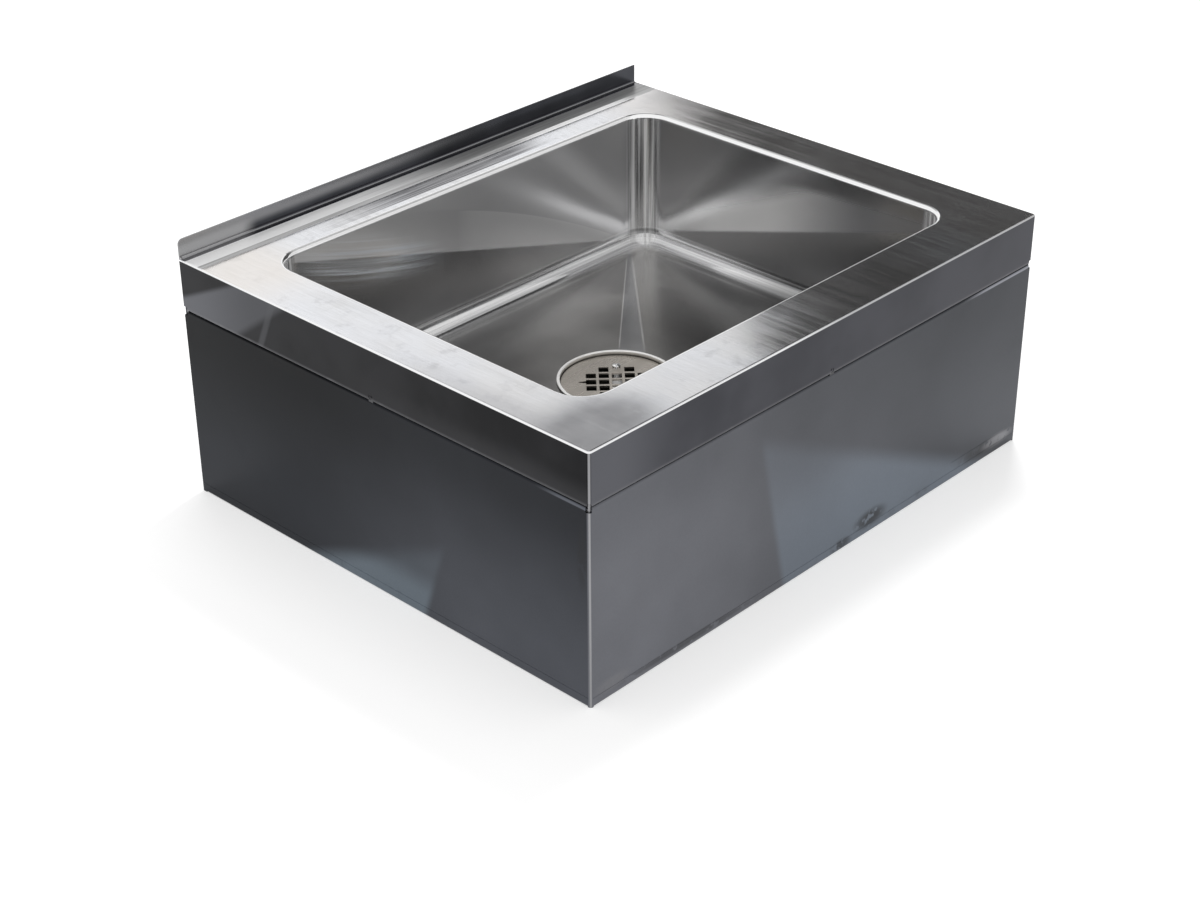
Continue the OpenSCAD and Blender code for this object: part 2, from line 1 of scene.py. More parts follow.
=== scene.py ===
# %% [markdown]
# # Mop service sink
# A floor-standing mop sink is a box of folded steel sheet: a deep pressed bowl hangs in a
# flat deck, four skirt panels carry it down to the floor, and a strainer plate sits in the
# drain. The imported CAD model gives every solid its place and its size. This lesson sets up
# the studio, gives each solid the finish of the real metal, and rebuilds the two pieces
# whose edges are too fine for the CAD model.

# %% Load the frame
import json
import math

import bmesh
import bpy
from mathutils import Matrix, Vector


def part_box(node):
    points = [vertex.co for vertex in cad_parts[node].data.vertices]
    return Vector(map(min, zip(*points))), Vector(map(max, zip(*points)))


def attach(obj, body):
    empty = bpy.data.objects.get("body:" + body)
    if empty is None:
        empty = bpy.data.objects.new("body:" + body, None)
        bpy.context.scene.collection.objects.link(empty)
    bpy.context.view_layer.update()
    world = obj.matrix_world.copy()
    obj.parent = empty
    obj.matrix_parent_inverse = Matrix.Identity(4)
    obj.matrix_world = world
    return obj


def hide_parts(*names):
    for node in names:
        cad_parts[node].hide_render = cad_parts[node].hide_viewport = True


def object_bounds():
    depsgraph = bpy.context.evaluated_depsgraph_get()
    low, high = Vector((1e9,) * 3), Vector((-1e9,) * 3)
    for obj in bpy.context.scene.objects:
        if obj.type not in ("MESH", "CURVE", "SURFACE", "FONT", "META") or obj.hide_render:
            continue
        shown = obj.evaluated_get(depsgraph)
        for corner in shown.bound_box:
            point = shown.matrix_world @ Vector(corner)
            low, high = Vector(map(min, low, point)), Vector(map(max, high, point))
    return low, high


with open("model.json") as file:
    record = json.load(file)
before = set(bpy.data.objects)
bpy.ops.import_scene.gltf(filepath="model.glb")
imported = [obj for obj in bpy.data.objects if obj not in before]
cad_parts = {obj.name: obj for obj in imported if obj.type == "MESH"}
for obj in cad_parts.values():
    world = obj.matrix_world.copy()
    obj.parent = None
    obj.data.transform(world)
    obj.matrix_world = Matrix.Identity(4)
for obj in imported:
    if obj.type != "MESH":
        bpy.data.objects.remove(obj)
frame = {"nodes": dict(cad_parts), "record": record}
cad_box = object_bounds()
cad = frame["nodes"]
scene = bpy.context.scene
scene.view_settings.view_transform = "Standard"
print("CAD nodes:", len(cad), "box:", [tuple(round(v, 4) for v in c) for c in cad_box])

# %% [markdown]
# ## The camera
# The picture was taken from the front left, about 30 degrees above the deck, with a
# moderately long lens. The camera's place and turn come from the corners of the box: with
# the box's sizes given, seven corners fix them to a pixel or two. A small roll stays in,
# because the camera wasn't quite level.

# %% Camera
CAMERA_PLACE = (-1.4416, -1.3456, 1.1592)
CAMERA_AZIMUTH, CAMERA_DIP, CAMERA_ROLL = -46.504, 30.085, -0.2978
CAMERA_TURN = (
    Matrix.Rotation(math.radians(CAMERA_AZIMUTH), 4, "Z")
    @ Matrix.Rotation(math.radians(90 - CAMERA_DIP), 4, "X")
    @ Matrix.Rotation(math.radians(CAMERA_ROLL), 4, "Z")
)
SENSOR_MM, LENS_MM, SIGHT = 36.0, 67.48, 80.0
BOX_MIDDLE = (0, 0, 0.13)
camera_data = bpy.data.cameras.new("camera")
camera_data.sensor_width = SENSOR_MM
camera_data.lens = LENS_MM
camera_data.clip_end = SIGHT
camera = bpy.data.objects.new("camera", camera_data)
camera.matrix_world = Matrix.Translation(CAMERA_PLACE) @ CAMERA_TURN
scene.collection.objects.link(camera)
scene.camera = camera
away = (Vector(CAMERA_PLACE) - Vector(BOX_MIDDLE)).length
print("camera to the box's middle:", round(away, 3), "m")

# %% [markdown]
# ## Wiring helpers
# A node material is a set of small sums. Written by hand each sum takes five lines, so
# these helpers take numbers or sockets alike and return the socket that holds the answer.


# %% Wiring helpers
def connect(tree, value, socket):
    """Feeds a socket from another socket, or gives it a plain number or colour."""
    if isinstance(value, bpy.types.NodeSocket):
        tree.links.new(value, socket)
    else:
        socket.default_value = value


def sum_of(tree, operation, first, second=0.0, third=0.0):
    node = tree.nodes.new("ShaderNodeMath")
    node.operation = operation
    for value, socket in zip((first, second, third), node.inputs):
        connect(tree, value, socket)
    return node.outputs[0]


def scaled(tree, value, factor, offset):
    """value * factor + offset."""
    return sum_of(tree, "MULTIPLY_ADD", value, factor, offset)


def ramp_up(tree, value, low, high):
    """0 below low, 1 above high, smooth in between. low may be the larger one."""
    node = tree.nodes.new("ShaderNodeMapRange")
    node.interpolation_type = "SMOOTHSTEP"
    connect(tree, value, node.inputs["Value"])
    flip = low > high
    node.inputs["From Min"].default_value = min(low, high)
    node.inputs["From Max"].default_value = max(low, high)
    node.inputs["To Min"].default_value = 1.0 if flip else 0.0
    node.inputs["To Max"].default_value = 0.0 if flip else 1.0
    return node.outputs["Result"]


def between(tree, value, low, high, soft):
    """1 between low and high, with soft edges half inside and half outside."""
    return sum_of(
        tree, "MULTIPLY",
        ramp_up(tree, value, low - soft / 2, low + soft / 2),
        ramp_up(tree, value, high + soft / 2, high - soft / 2),
    )


def blend_of(tree, mask, below, above, mode="MIX"):
    """Mixes two colours, each a socket or a plain (r, g, b)."""
    node = tree.nodes.new("ShaderNodeMix")
    node.data_type = "RGBA"
    node.blend_type = mode
    connect(tree, mask, node.inputs[0])
    for value, socket in ((below, node.inputs[6]), (above, node.inputs[7])):
        connect(tree, value if isinstance(value, bpy.types.NodeSocket) else (*value, 1.0), socket)
    return node.outputs[2]


def layered(tree, color, *layers):
    """Lays colours over one another, each given as (mask, colour)."""
    for mask, above in layers:
        color = blend_of(tree, mask, color, above)
    return color


def place_axes(tree):
    """The object coordinates, whole and split: every CAD piece sits at the origin."""
    where = tree.nodes.new("ShaderNodeTexCoord").outputs["Object"]
    split = tree.nodes.new("ShaderNodeSeparateXYZ")
    tree.links.new(where, split.inputs[0])
    return where, split.outputs[0], split.outputs[1], split.outputs[2]


finishes = {}


def metal_named(name):
    """A new metal, kept in finishes under the record's name for its slot."""
    material = bpy.data.materials.new(name)
    finishes[name] = material
    material.use_nodes = True
    tree = material.node_tree
    shader = tree.nodes["Principled BSDF"]
    shader.inputs["Metallic"].default_value = 1.0
    return tree, shader


# %% [markdown]
# ## Floor and sky
# The picture has a pure white ground with a soft pale shadow under the object. A white
# floor lit to full white would also flood the steel with light, so the floor keeps a
# middle grey for the lamps and gets the rest as a glow that only eyes, mirrors and glass
# see. The sky works the same way.


# %% Floor and sky
def seen_directly(tree):
    """1 for camera, mirror and glass rays, 0 for diffuse light."""
    path = tree.nodes.new("ShaderNodeLightPath")
    eyes = sum_of(tree, "MAXIMUM", path.outputs["Is Camera Ray"], path.outputs["Is Glossy Ray"])
    return sum_of(tree, "MAXIMUM", eyes, path.outputs["Is Transmission Ray"])


FLOOR_HALF = 14.0
FLOOR_GREY = 0.62
FLOOR_GLOW = 0.50
SKY_LIGHT = 0.55

floor_mesh = bpy.data.meshes.new("floor")
floor_mesh.from_pydata(
    [(-FLOOR_HALF, -FLOOR_HALF, 0), (FLOOR_HALF, -FLOOR_HALF, 0),
     (FLOOR_HALF, FLOOR_HALF, 0), (-FLOOR_HALF, FLOOR_HALF, 0)], [], [(0, 1, 2, 3)])
floor = bpy.data.objects.new("floor", floor_mesh)
scene.collection.objects.link(floor)

floor_material = bpy.data.materials.new("studio floor")
floor_material.use_nodes = True
tree = floor_material.node_tree
tree.nodes.clear()
out = tree.nodes.new("ShaderNodeOutputMaterial")
matt = tree.nodes.new("ShaderNodeBsdfDiffuse")
matt.inputs["Color"].default_value = (FLOOR_GREY, FLOOR_GREY, FLOOR_GREY, 1)
glow = tree.nodes.new("ShaderNodeEmission")
connect(tree, sum_of(tree, "MULTIPLY", seen_directly(tree), FLOOR_GLOW), glow.inputs["Strength"])
both = tree.nodes.new("ShaderNodeAddShader")
tree.links.new(matt.outputs[0], both.inputs[0])
tree.links.new(glow.outputs[0], both.inputs[1])
tree.links.new(both.outputs[0], out.inputs["Surface"])
floor_mesh.materials.append(floor_material)

sky = bpy.data.worlds.new("studio sky")
sky.use_nodes = True
tree = sky.node_tree
sky_glow = tree.nodes["Background"]
sky_glow.inputs["Color"].default_value = (1, 1, 1, 1)
connect(tree, scaled(tree, seen_directly(tree), 1.0 - SKY_LIGHT, SKY_LIGHT),
        sky_glow.inputs["Strength"])
scene.world = sky
print("floor", 2 * FLOOR_HALF, "m wide, sky light", SKY_LIGHT)

# %% [markdown]
# ## Lamps and dark cards
# Satin steel has hardly any colour of its own: what looks like light and dark metal is
# the studio mirrored in it. Product photographers therefore hang soft boxes where the
# metal should shine and black cards where it should go dark. Here three soft boxes light
# the scene: a wide one from behind, a wide one from above, and a small key light high up on
# the right. They are kept out of reflections, which would show their outlines. Two dark
# cards stand where the right-hand part of the deck mirrors them, and a paler one in front.
# The cards show in reflections alone, so they throw no shadow.


# %% Lamps and cards
def soft_box(name, place, target, size, power):
    """An area lamp that lights the scene but isn't mirrored in it."""
    data = bpy.data.lights.new(name, "AREA")
    data.shape = "RECTANGLE"
    data.size, data.size_y = size
    data.energy = power
    lamp = bpy.data.objects.new(name, data)
    aim = Vector(target) - Vector(place)
    lamp.matrix_world = (
        Matrix.Translation(place) @ aim.to_track_quat("-Z", "Y").to_matrix().to_4x4())
    lamp.visible_glossy = False
    scene.collection.objects.link(lamp)


CARD_DISTANCE = 4.0
DECK_MIDDLE = (0, 0, 0.254)


def dark_card(name, corners, shade):
    """A card whose corners are given as (azimuth, height angle) seen from the deck."""
    points = []
    for azimuth, height in corners:
        a, h = math.radians(azimuth), math.radians(height)
        points.append(Vector(DECK_MIDDLE) + CARD_DISTANCE * Vector(
            (math.cos(h) * math.cos(a), math.cos(h) * math.sin(a), math.sin(h))))
    mesh = bpy.data.meshes.new(name)
    mesh.from_pydata(points, [], [tuple(range(len(points)))])
    card = bpy.data.objects.new(name, mesh)
    material = bpy.data.materials.new(name)
    material.use_nodes = True
    card_tree = material.node_tree
    card_tree.nodes.clear()
    end = card_tree.nodes.new("ShaderNodeOutputMaterial")
    paint = card_tree.nodes.new("ShaderNodeEmission")
    paint.inputs["Color"].default_value = (shade, shade, shade, 1)
    card_tree.links.new(paint.outputs[0], end.inputs["Surface"])
    mesh.materials.append(material)
    card.visible_camera = False
    card.visible_diffuse = False
    card.visible_transmission = False
    card.visible_volume_scatter = False
    card.visible_shadow = False
    scene.collection.objects.link(card)


soft_box("box behind", (1.3, 1.9, 2.2), (0, 0, 0.2), (2.0, 1.6), 14)
soft_box("box right", (1.13, 0.41, 2.6), (0, 0, 0.15), (0.4, 0.4), 26)
soft_box("box above", (-0.3, 0.0, 2.6), (0, 0, 0), (2.0, 2.0), 24)
dark_card(
    "card right", [(-8, 6), (44.2, 13), (39.7, 21), (37, 27.2), (34.3, 33), (30, 60), (-8, 60)],
    0.075)
dark_card("card over", [(34.3, 32.6), (60, 32.6), (62, 60), (30, 60)], 0.3)
dark_card("card front", [(-51, 8), (-12, 8), (-12, 55), (-51, 55)], 0.75)
print("lamps:", len(bpy.data.lights), "cards at", CARD_DISTANCE, "m")

# %% [markdown]
# ## Shared effects
# Three things happen on nearly every sheet of this sink. Grinding and brushing leave fine
# parallel grain. Handling and cleaning leave soft clouds that are a little lighter or
# duller. And each sheet buckles slightly, so that what it mirrors wavers. Each effect is a
# node group, made once and used in each metal with its own sizes.


# %% A new group
def new_group(name, inputs, outputs):
    group = bpy.data.node_groups.new(name, "ShaderNodeTree")
    for title, kind, value in inputs:
        socket = group.interface.new_socket(title, in_out="INPUT", socket_type=kind)
        socket.default_value = value
    for title in outputs:
        group.interface.new_socket(title, in_out="OUTPUT", socket_type="NodeSocketFloat")
    return group, group.nodes.new("NodeGroupInput"), group.nodes.new("NodeGroupOutput")


def noise_in(tree, vector, scale, detail, roughness):
    noise = tree.nodes.new("ShaderNodeTexNoise")
    noise.inputs["Detail"].default_value = detail
    noise.inputs["Roughness"].default_value = roughness
    connect(tree, scale, noise.inputs["Scale"])
    tree.links.new(vector, noise.inputs["Vector"])
    return noise.outputs["Fac"]


# %% Group: brushed grain
grain_group, gin, gout = new_group(
    "brushed grain",
    [("Vector", "NodeSocketVector", (0, 0, 0)),
     ("Grain Size", "NodeSocketVector", (0.001, 0.02, 0.02))],
    ["Grain", "Streaks"],
)
by_size = grain_group.nodes.new("ShaderNodeVectorMath")
by_size.operation = "DIVIDE"
grain_group.links.new(gin.outputs["Vector"], by_size.inputs[0])
grain_group.links.new(gin.outputs["Grain Size"], by_size.inputs[1])
fine = noise_in(grain_group, by_size.outputs[0], 1.0, 2.0, 0.6)
coarse = noise_in(grain_group, by_size.outputs[0], 0.16, 3.0, 0.6)
grain_group.links.new(fine, gout.inputs["Grain"])
connect(grain_group, ramp_up(grain_group, coarse, 0.34, 0.66), gout.inputs["Streaks"])

# %% Group: handling clouds
cloud_group, gin, gout = new_group(
    "handling clouds",
    [("Vector", "NodeSocketVector", (0, 0, 0)), ("Cloud Scale", "NodeSocketFloat", 6.0)],
    ["Clouds", "Smears"],
)
wide = noise_in(cloud_group, gin.outputs["Vector"], gin.outputs["Cloud Scale"], 3.0, 0.55)
connect(cloud_group, ramp_up(cloud_group, wide, 0.32, 0.68), gout.inputs["Clouds"])
finer = sum_of(cloud_group, "MULTIPLY", gin.outputs["Cloud Scale"], 4.5)
small = noise_in(cloud_group, gin.outputs["Vector"], finer, 5.0, 0.62)
connect(cloud_group, ramp_up(cloud_group, small, 0.54, 0.74), gout.inputs["Smears"])

# %% Group: buckled sheet
buckle_group, gin, gout = new_group(
    "buckled sheet",
    [("Vector", "NodeSocketVector", (0, 0, 0)), ("Wave Scale", "NodeSocketFloat", 5.0)],
    ["Height"],
)
wave = noise_in(buckle_group, gin.outputs["Vector"], gin.outputs["Wave Scale"], 1.0, 0.4)
buckle_group.links.new(wave, gout.inputs["Height"])
print("groups:", [g.name for g in bpy.data.node_groups])


# %% Using the groups
EVEN_GRAIN = (0.002, 0.002, 0.002)
GRAIN_DEPTH = 0.000003


def use_group(tree, group, **values):
    """Puts a group to use, and returns its outputs in their order."""
    node = tree.nodes.new("ShaderNodeGroup")
    node.node_tree = group
    for title, value in values.items():
        connect(tree, value, node.inputs[title.replace("_", " ")])
    return list(node.outputs)


def bump_onto(tree, height, depth, normal=None):
    """A bump whose height runs from 0 to 1 over depth metres."""
    node = tree.nodes.new("ShaderNodeBump")
    node.inputs["Strength"].default_value = 1.0
    node.inputs["Distance"].default_value = depth
    tree.links.new(height, node.inputs["Height"])
    if normal is not None:
        tree.links.new(normal, node.inputs["Normal"])
    return node.outputs["Normal"]


def buckled(tree, where, wave_scale, depth):
    """The normals of a sheet that buckles by depth metres."""
    (height,) = use_group(tree, buckle_group, Vector=where, Wave_Scale=wave_scale)
    return bump_onto(tree, height, depth)


def mix_number(tree, mask, below, above):
    node = tree.nodes.new("ShaderNodeMix")
    for value, number in ((mask, 0), (below, 2), (above, 3)):
        connect(tree, value, node.inputs[number])
    return node.outputs[0]


def part_of(tree, *masks):
    """Several masks multiplied, the last may be a plain number."""
    result = masks[0]
    for mask in masks[1:]:
        result = sum_of(tree, "MULTIPLY", result, mask)
    return result


def vector_of(tree, x=0.0, y=0.0, z=0.0):
    node = tree.nodes.new("ShaderNodeCombineXYZ")
    for value, socket in zip((x, y, z), node.inputs):
        connect(tree, value, socket)
    return node.outputs[0]


def shaded(tree, color, value, low, high):
    """The colour made darker or lighter, by low where value is 0 and by high where it is 1."""
    factor = scaled(tree, value, high - low, low)
    return blend_of(tree, 1.0, color, vector_of(tree, factor, factor, factor), "MULTIPLY")


def tilted(tree, across, up, slope):
    """How high up is over a line of this slope through the origin."""
    return scaled(tree, across, -slope, up)


def streaks_along(tree, along, over, length, width, shift=0.0):
    """Long thin streaks: length along one coordinate, width over the other."""
    flow = vector_of(
        tree, scaled(tree, along, 1 / length, shift), shift,
        sum_of(tree, "MULTIPLY", over, 1 / width))
    return ramp_up(tree, noise_in(tree, flow, 1.0, 3.0, 0.6), 0.33, 0.67)


def spot(tree, across, up, middle, reach, core):
    """1 within the core of a soft oval, given as a share of its reach, and 0 at its reach."""
    a = scaled(tree, across, 1 / reach[0], -middle[0] / reach[0])
    b = scaled(tree, up, 1 / reach[1], -middle[1] / reach[1])
    square = sum_of(tree, "ADD", sum_of(tree, "MULTIPLY", a, a), sum_of(tree, "MULTIPLY", b, b))
    return ramp_up(tree, sum_of(tree, "SQRT", square), 1.0, core)


# %% [markdown]
# ## The deck sheet
# Deck, aprons and upstand are one folded sheet. Its top was ground and brushed from front
# to rear, so it shines; on it, the strip along the upstand, part of the front strip and the
# near corner carry painted reflections, mostly dark. The turned-down aprons and the upstand
# are painted dark, a painted reflection of dark surroundings, with painted lighter
# reflections on them. The places are told apart by height alone: above the fold, the top,
# and above the top, the upstand. Painted highlights along the fold edges finish it.

# %% Where things are on the sheet
TOP_Z = 0.254
SEAM_Z = 0.201
HALF_W, HALF_D = cad_box[1][0], cad_box[1][1]


def near_corner(tree, x, y, reach):
    """1 on the upright edge between the front and the left faces, 0 from reach on."""
    return part_of(
        tree, ramp_up(tree, x, -HALF_W + reach, -HALF_W + 0.0012),
        ramp_up(tree, y, -HALF_D + reach, -HALF_D + 0.0012))


tree, shader = metal_named("deck_steel")
where, x, y, z = place_axes(tree)
on_top = ramp_up(tree, z, TOP_Z - 0.0014, TOP_Z - 0.0007)
on_fold = between(tree, z, TOP_Z - 0.0017, TOP_Z - 0.0003, 0.0004)
on_upstand = ramp_up(tree, z, TOP_Z + 0.0006, TOP_Z + 0.0018)
grain, streaks = use_group(tree, grain_group, Vector=where, Grain_Size=(0.0011, 0.030, 0.02))
clouds, smears = use_group(tree, cloud_group, Vector=where, Cloud_Scale=11.0)

# %% The ground top
GROUND = (0.68, 0.68, 0.685), (0.80, 0.80, 0.81)
CLOUDED, SMEARED = (0.87, 0.89, 0.94), (0.52, 0.52, 0.54)
CREAM, WARM = (0.86, 0.81, 0.76), (0.80, 0.77, 0.75)
DARK_REFLECTION, LEFT_EDGE_DARK = (0.50, 0.49, 0.49), (0.48, 0.48, 0.50)
cream = part_of(tree, ramp_up(tree, x, -0.21, -0.27), ramp_up(tree, y, 0.10, 0.18), 0.6)
warm = part_of(tree, ramp_up(tree, x, 0.20, 0.27), 0.6)
# Painted dark reflection on the front strip, right of its middle.
dark_reflection = part_of(
    tree, ramp_up(tree, x, -0.04, 0.03), ramp_up(tree, x, 0.22, 0.08),
    ramp_up(tree, y, -0.18, -0.22), 0.75)
# Darker towards the outer left edge and the front.
left_edge_dark = part_of(tree, ramp_up(tree, x, -0.285, -0.312), ramp_up(tree, y, 0.05, -0.20), 0.55)
top_color = layered(
    tree, blend_of(tree, streaks, *GROUND), (part_of(tree, clouds, 0.60), CLOUDED),
    (part_of(tree, smears, 0.45), SMEARED))
top_color = shaded(tree, top_color, grain, 0.88, 1.12)
top_color = layered(
    tree, top_color, (cream, CREAM), (warm, WARM), (dark_reflection, DARK_REFLECTION), (left_edge_dark, LEFT_EDGE_DARK))

# %% The rear strip: a matt band that no wheel can reach, then lengthwise strokes in a painted dark reflection of the upstand
STROKED_REFLECTION, INNER_FOLD_SHADE = (0.09, 0.09, 0.10), (0.30, 0.30, 0.31)
MATT = (0.40, 0.40, 0.40), (0.95, 0.95, 0.95)
MATT_START, MATT_END = 0.2330, 0.2585
strokes = streaks_along(tree, x, y, 0.13, 0.0024)
stroked_reflection = part_of(
    tree, ramp_up(tree, y, 0.2105, 0.2125), ramp_up(tree, x, -0.21, -0.05),
    ramp_up(tree, x, 0.14, 0.07), scaled(tree, strokes, 0.45, 0.6))
matt = between(tree, y, MATT_START, MATT_END, 0.0012)
# The matt band's colour is painted reflection: lighter towards the left, and in its inner half
# towards the right end.
outer_light = scaled(tree, strokes, 0.25, ramp_up(tree, x, 0.06, -0.16))
right_end = part_of(tree, ramp_up(tree, x, 0.08, 0.15), ramp_up(tree, x, 0.30, 0.24))
inner_light = scaled(tree, strokes, 0.4, scaled(tree, right_end, 1.0, 0.2))
matt_light = mix_number(tree, ramp_up(tree, y, 0.2408, 0.2398), outer_light, inner_light)
# A painted shade darkens the inner fold at the upstand's foot.
top_color = layered(
    tree, top_color, (stroked_reflection, STROKED_REFLECTION), (matt, blend_of(tree, matt_light, *MATT)),
    (ramp_up(tree, y, 0.2580, 0.2590), INNER_FOLD_SHADE))

# %% The ground mitre at the near corner, painted darker as a painted dark reflection
MITRE_DARK_REFLECTION = (0.26, 0.26, 0.27)
mitre_dark_reflection = part_of(
    tree, spot(tree, x, y, (-0.285, -0.238), (0.095, 0.065), 0.3),
    scaled(tree, clouds, 0.4, 0.5))
top_color = blend_of(tree, mitre_dark_reflection, top_color, MITRE_DARK_REFLECTION)

# %% The aprons, painted dark with painted reflections and highlights
# Both aprons are painted dark as a painted reflection of dark surroundings. The left one is painted
# darker still, as painted shade, and the front one lighter towards the near corner, as painted
# reflection.
SHADED_LEFT_APRON = (0.012, 0.012, 0.013), (0.022, 0.022, 0.024)
LOW_REFLECTION, LEAF_REFLECTION = (0.048, 0.048, 0.051), (0.115, 0.118, 0.130)
CURTAIN_REFLECTION = (0.085, 0.087, 0.094)
FRONT_APRON = (0.040, 0.041, 0.048), (0.056, 0.057, 0.066)
FRONT_APRON_NEAR_REFLECTION = (0.094, 0.096, 0.108)
NEAR_CORNER_HIGHLIGHT, FOOT_HIGHLIGHT = (0.30, 0.30, 0.31), (0.18, 0.18, 0.19)
# Painted reflections on the left apron: lighter low down towards the front, a light wedge towards
# the rear, and a slanted curtain.
low_reflection = part_of(tree, ramp_up(tree, z, 0.228, 0.204), ramp_up(tree, y, 0.10, -0.20), 0.5)
leaf_reflection = part_of(
    tree, ramp_up(tree, tilted(tree, y, z, -0.72), 0.330, 0.342),
    ramp_up(tree, tilted(tree, y, z, -0.48), 0.3460, 0.3385),
    scaled(tree, ramp_up(tree, y, 0.15, 0.26), 0.45, 0.55))
curtain_reflection = part_of(tree, between(tree, tilted(tree, z, y, -0.45), 0.2400, 0.2475, 0.004), 0.5)
left_color = layered(
    tree, blend_of(tree, clouds, *SHADED_LEFT_APRON), (low_reflection, LOW_REFLECTION), (leaf_reflection, LEAF_REFLECTION),
    (curtain_reflection, CURTAIN_REFLECTION))
# Painted highlights on the apron's bottom bend and on the near corner's edge.
foot_highlight = part_of(
    tree, ramp_up(tree, z, SEAM_Z + 0.0045, SEAM_Z + 0.001), scaled(tree, smears, 0.5, 0.4))
apron_color = layered(
    tree, blend_of(tree, clouds, *FRONT_APRON),
    (ramp_up(tree, x, -0.20, -0.29), FRONT_APRON_NEAR_REFLECTION),
    (ramp_up(tree, x, -HALF_W + 0.003, -HALF_W + 0.001), left_color),
    (near_corner(tree, x, y, 0.0022), NEAR_CORNER_HIGHLIGHT), (foot_highlight, FOOT_HIGHLIGHT))

# %% The upstand, and all of them together
UPSTAND, SKY_REFLECTION = (0.048, 0.050, 0.057), (0.30, 0.30, 0.31)
UPSTAND_LEFT = (0.32, 0.32, 0.325)
FOLD_HIGHLIGHT = (0.93, 0.93, 0.94), (0.52, 0.52, 0.53)
# The upstand is painted dark as a painted reflection, with a painted reflection of the sky along
# its top and a lighter left end.
sky_reflection = part_of(tree, ramp_up(tree, z, 0.259, 0.271), ramp_up(tree, x, 0.12, -0.10))
upstand_color = layered(
    tree, shaded(tree, UPSTAND, clouds, 0.75, 1.25), (sky_reflection, SKY_REFLECTION),
    (ramp_up(tree, x, -0.222, -0.245), UPSTAND_LEFT))
# Painted highlight along the fold edges, dimmer at the front right.
front_right = part_of(tree, ramp_up(tree, x, -0.08, 0.04), ramp_up(tree, y, 0.0, -0.2))
color = layered(
    tree, apron_color, (on_top, top_color), (on_fold, blend_of(tree, front_right, *FOLD_HIGHLIGHT)),
    (on_upstand, upstand_color))
tree.links.new(color, shader.inputs["Base Color"])

# %% How sharply the sheet mirrors
TOP_ROUGH, APRON_ROUGH, FOLD_ROUGH, UPSTAND_ROUGH, MATT_ROUGH = 0.10, 0.28, 0.28, 0.22, 0.40
top_rough = scaled(tree, streaks, 0.05, TOP_ROUGH)
top_rough = scaled(tree, ramp_up(tree, y, 0.21, 0.24), -0.06, top_rough)
top_rough = scaled(tree, clouds, 0.04, top_rough)
rough = mix_number(tree, on_top, scaled(tree, clouds, 0.08, APRON_ROUGH), top_rough)
matt_top = part_of(tree, matt, on_top)
for mask, above in ((on_fold, FOLD_ROUGH), (on_upstand, UPSTAND_ROUGH), (matt_top, MATT_ROUGH)):
    rough = mix_number(tree, mask, rough, above)
tree.links.new(rough, shader.inputs["Roughness"])
matt_metal = scaled(tree, matt_light, -0.27, 0.92)
tree.links.new(mix_number(tree, matt_top, 1.0, matt_metal), shader.inputs["Metallic"])
grain_bump = part_of(tree, grain, on_top)
normal = bump_onto(tree, grain_bump, GRAIN_DEPTH, buckled(tree, where, 9.0, 0.0005))
tree.links.new(normal, shader.inputs["Normal"])
print("deck_steel:", len(tree.nodes), "nodes")

# %% [markdown]
# ## The bowl
# The bowl is pressed from one sheet and then satin polished. The rolled rim, the coves
# and the upright corners were buffed by hand, so they mirror more sharply than the flat
# walls, and painted highlights run along them. The walls carry painted reflections: a light
# upper part over a darker lower one and a pale wedge on the rear wall, a pale band on the
# right one and a bluish fan of fine strokes. Each ends along a slanted line, which its mask
# follows.

# %% The colours in the bowl: pairs run from the first to the second across a wall
BARE_WALL = (0.46, 0.46, 0.465), (0.54, 0.54, 0.545)
UNDER = (0.36, 0.36, 0.365), (0.52, 0.52, 0.525)
UPPER = (0.98, 0.98, 0.99), (0.80, 0.80, 0.81)
WEDGE = (0.84, 0.84, 0.85)
FAN = (0.86, 0.92, 1.0)
RIGHT_WALL = (0.40, 0.40, 0.405), (0.40, 0.40, 0.403)
BAND = (0.32, 0.32, 0.33), (1.0, 1.0, 1.0)
CORNER_HIGHLIGHTS = (0.38, 0.38, 0.385), (1.0, 1.0, 1.0)
FLOOR_STEEL = (0.23, 0.226, 0.22), (0.44, 0.43, 0.415)
FLOOR_RIGHT_DARK_REFLECTION = (0.06, 0.059, 0.057)
BEAM_REFLECTION = (0.44, 0.44, 0.445)
CREASE_HIGHLIGHT = (1.0, 0.99, 0.97)
COVE_HIGHLIGHTS = (0.46, 0.46, 0.465), (1.0, 1.0, 1.0)
COVE_CORNER_SHADE = (0.55, 0.55, 0.55)
RIM_HIGHLIGHT = (0.90, 0.90, 0.90)

# %% Where things are in the bowl
FLOOR_Z = 0.1016
WALL_X, WALL_Y = 0.259, 0.202
tree, shader = metal_named("bowl_steel")
where, x, y, z = place_axes(tree)
grain, _ = use_group(tree, grain_group, Vector=where, Grain_Size=EVEN_GRAIN)
clouds, smears = use_group(tree, cloud_group, Vector=where, Cloud_Scale=9.0)
side_x, side_y = sum_of(tree, "ABSOLUTE", x), sum_of(tree, "ABSOLUTE", y)
in_cove = between(tree, z, FLOOR_Z + 0.0005, FLOOR_Z + 0.019, 0.006)
in_corner = part_of(
    tree, ramp_up(tree, side_x, WALL_X - 0.030, WALL_X - 0.018),
    ramp_up(tree, side_y, WALL_Y - 0.030, WALL_Y - 0.018))
on_rim = ramp_up(tree, z, TOP_Z - 0.006, TOP_Z - 0.003)
on_floor = ramp_up(tree, z, FLOOR_Z + 0.003, FLOOR_Z + 0.0005)
off_corner = ramp_up(tree, in_corner, 1.0, 0.0)
on_rear = part_of(tree, ramp_up(tree, y, WALL_Y - 0.02, WALL_Y - 0.004), off_corner)
on_right = part_of(tree, ramp_up(tree, x, WALL_X - 0.02, WALL_X - 0.004), off_corner)
polished = sum_of(tree, "MAXIMUM", in_cove, on_rim)

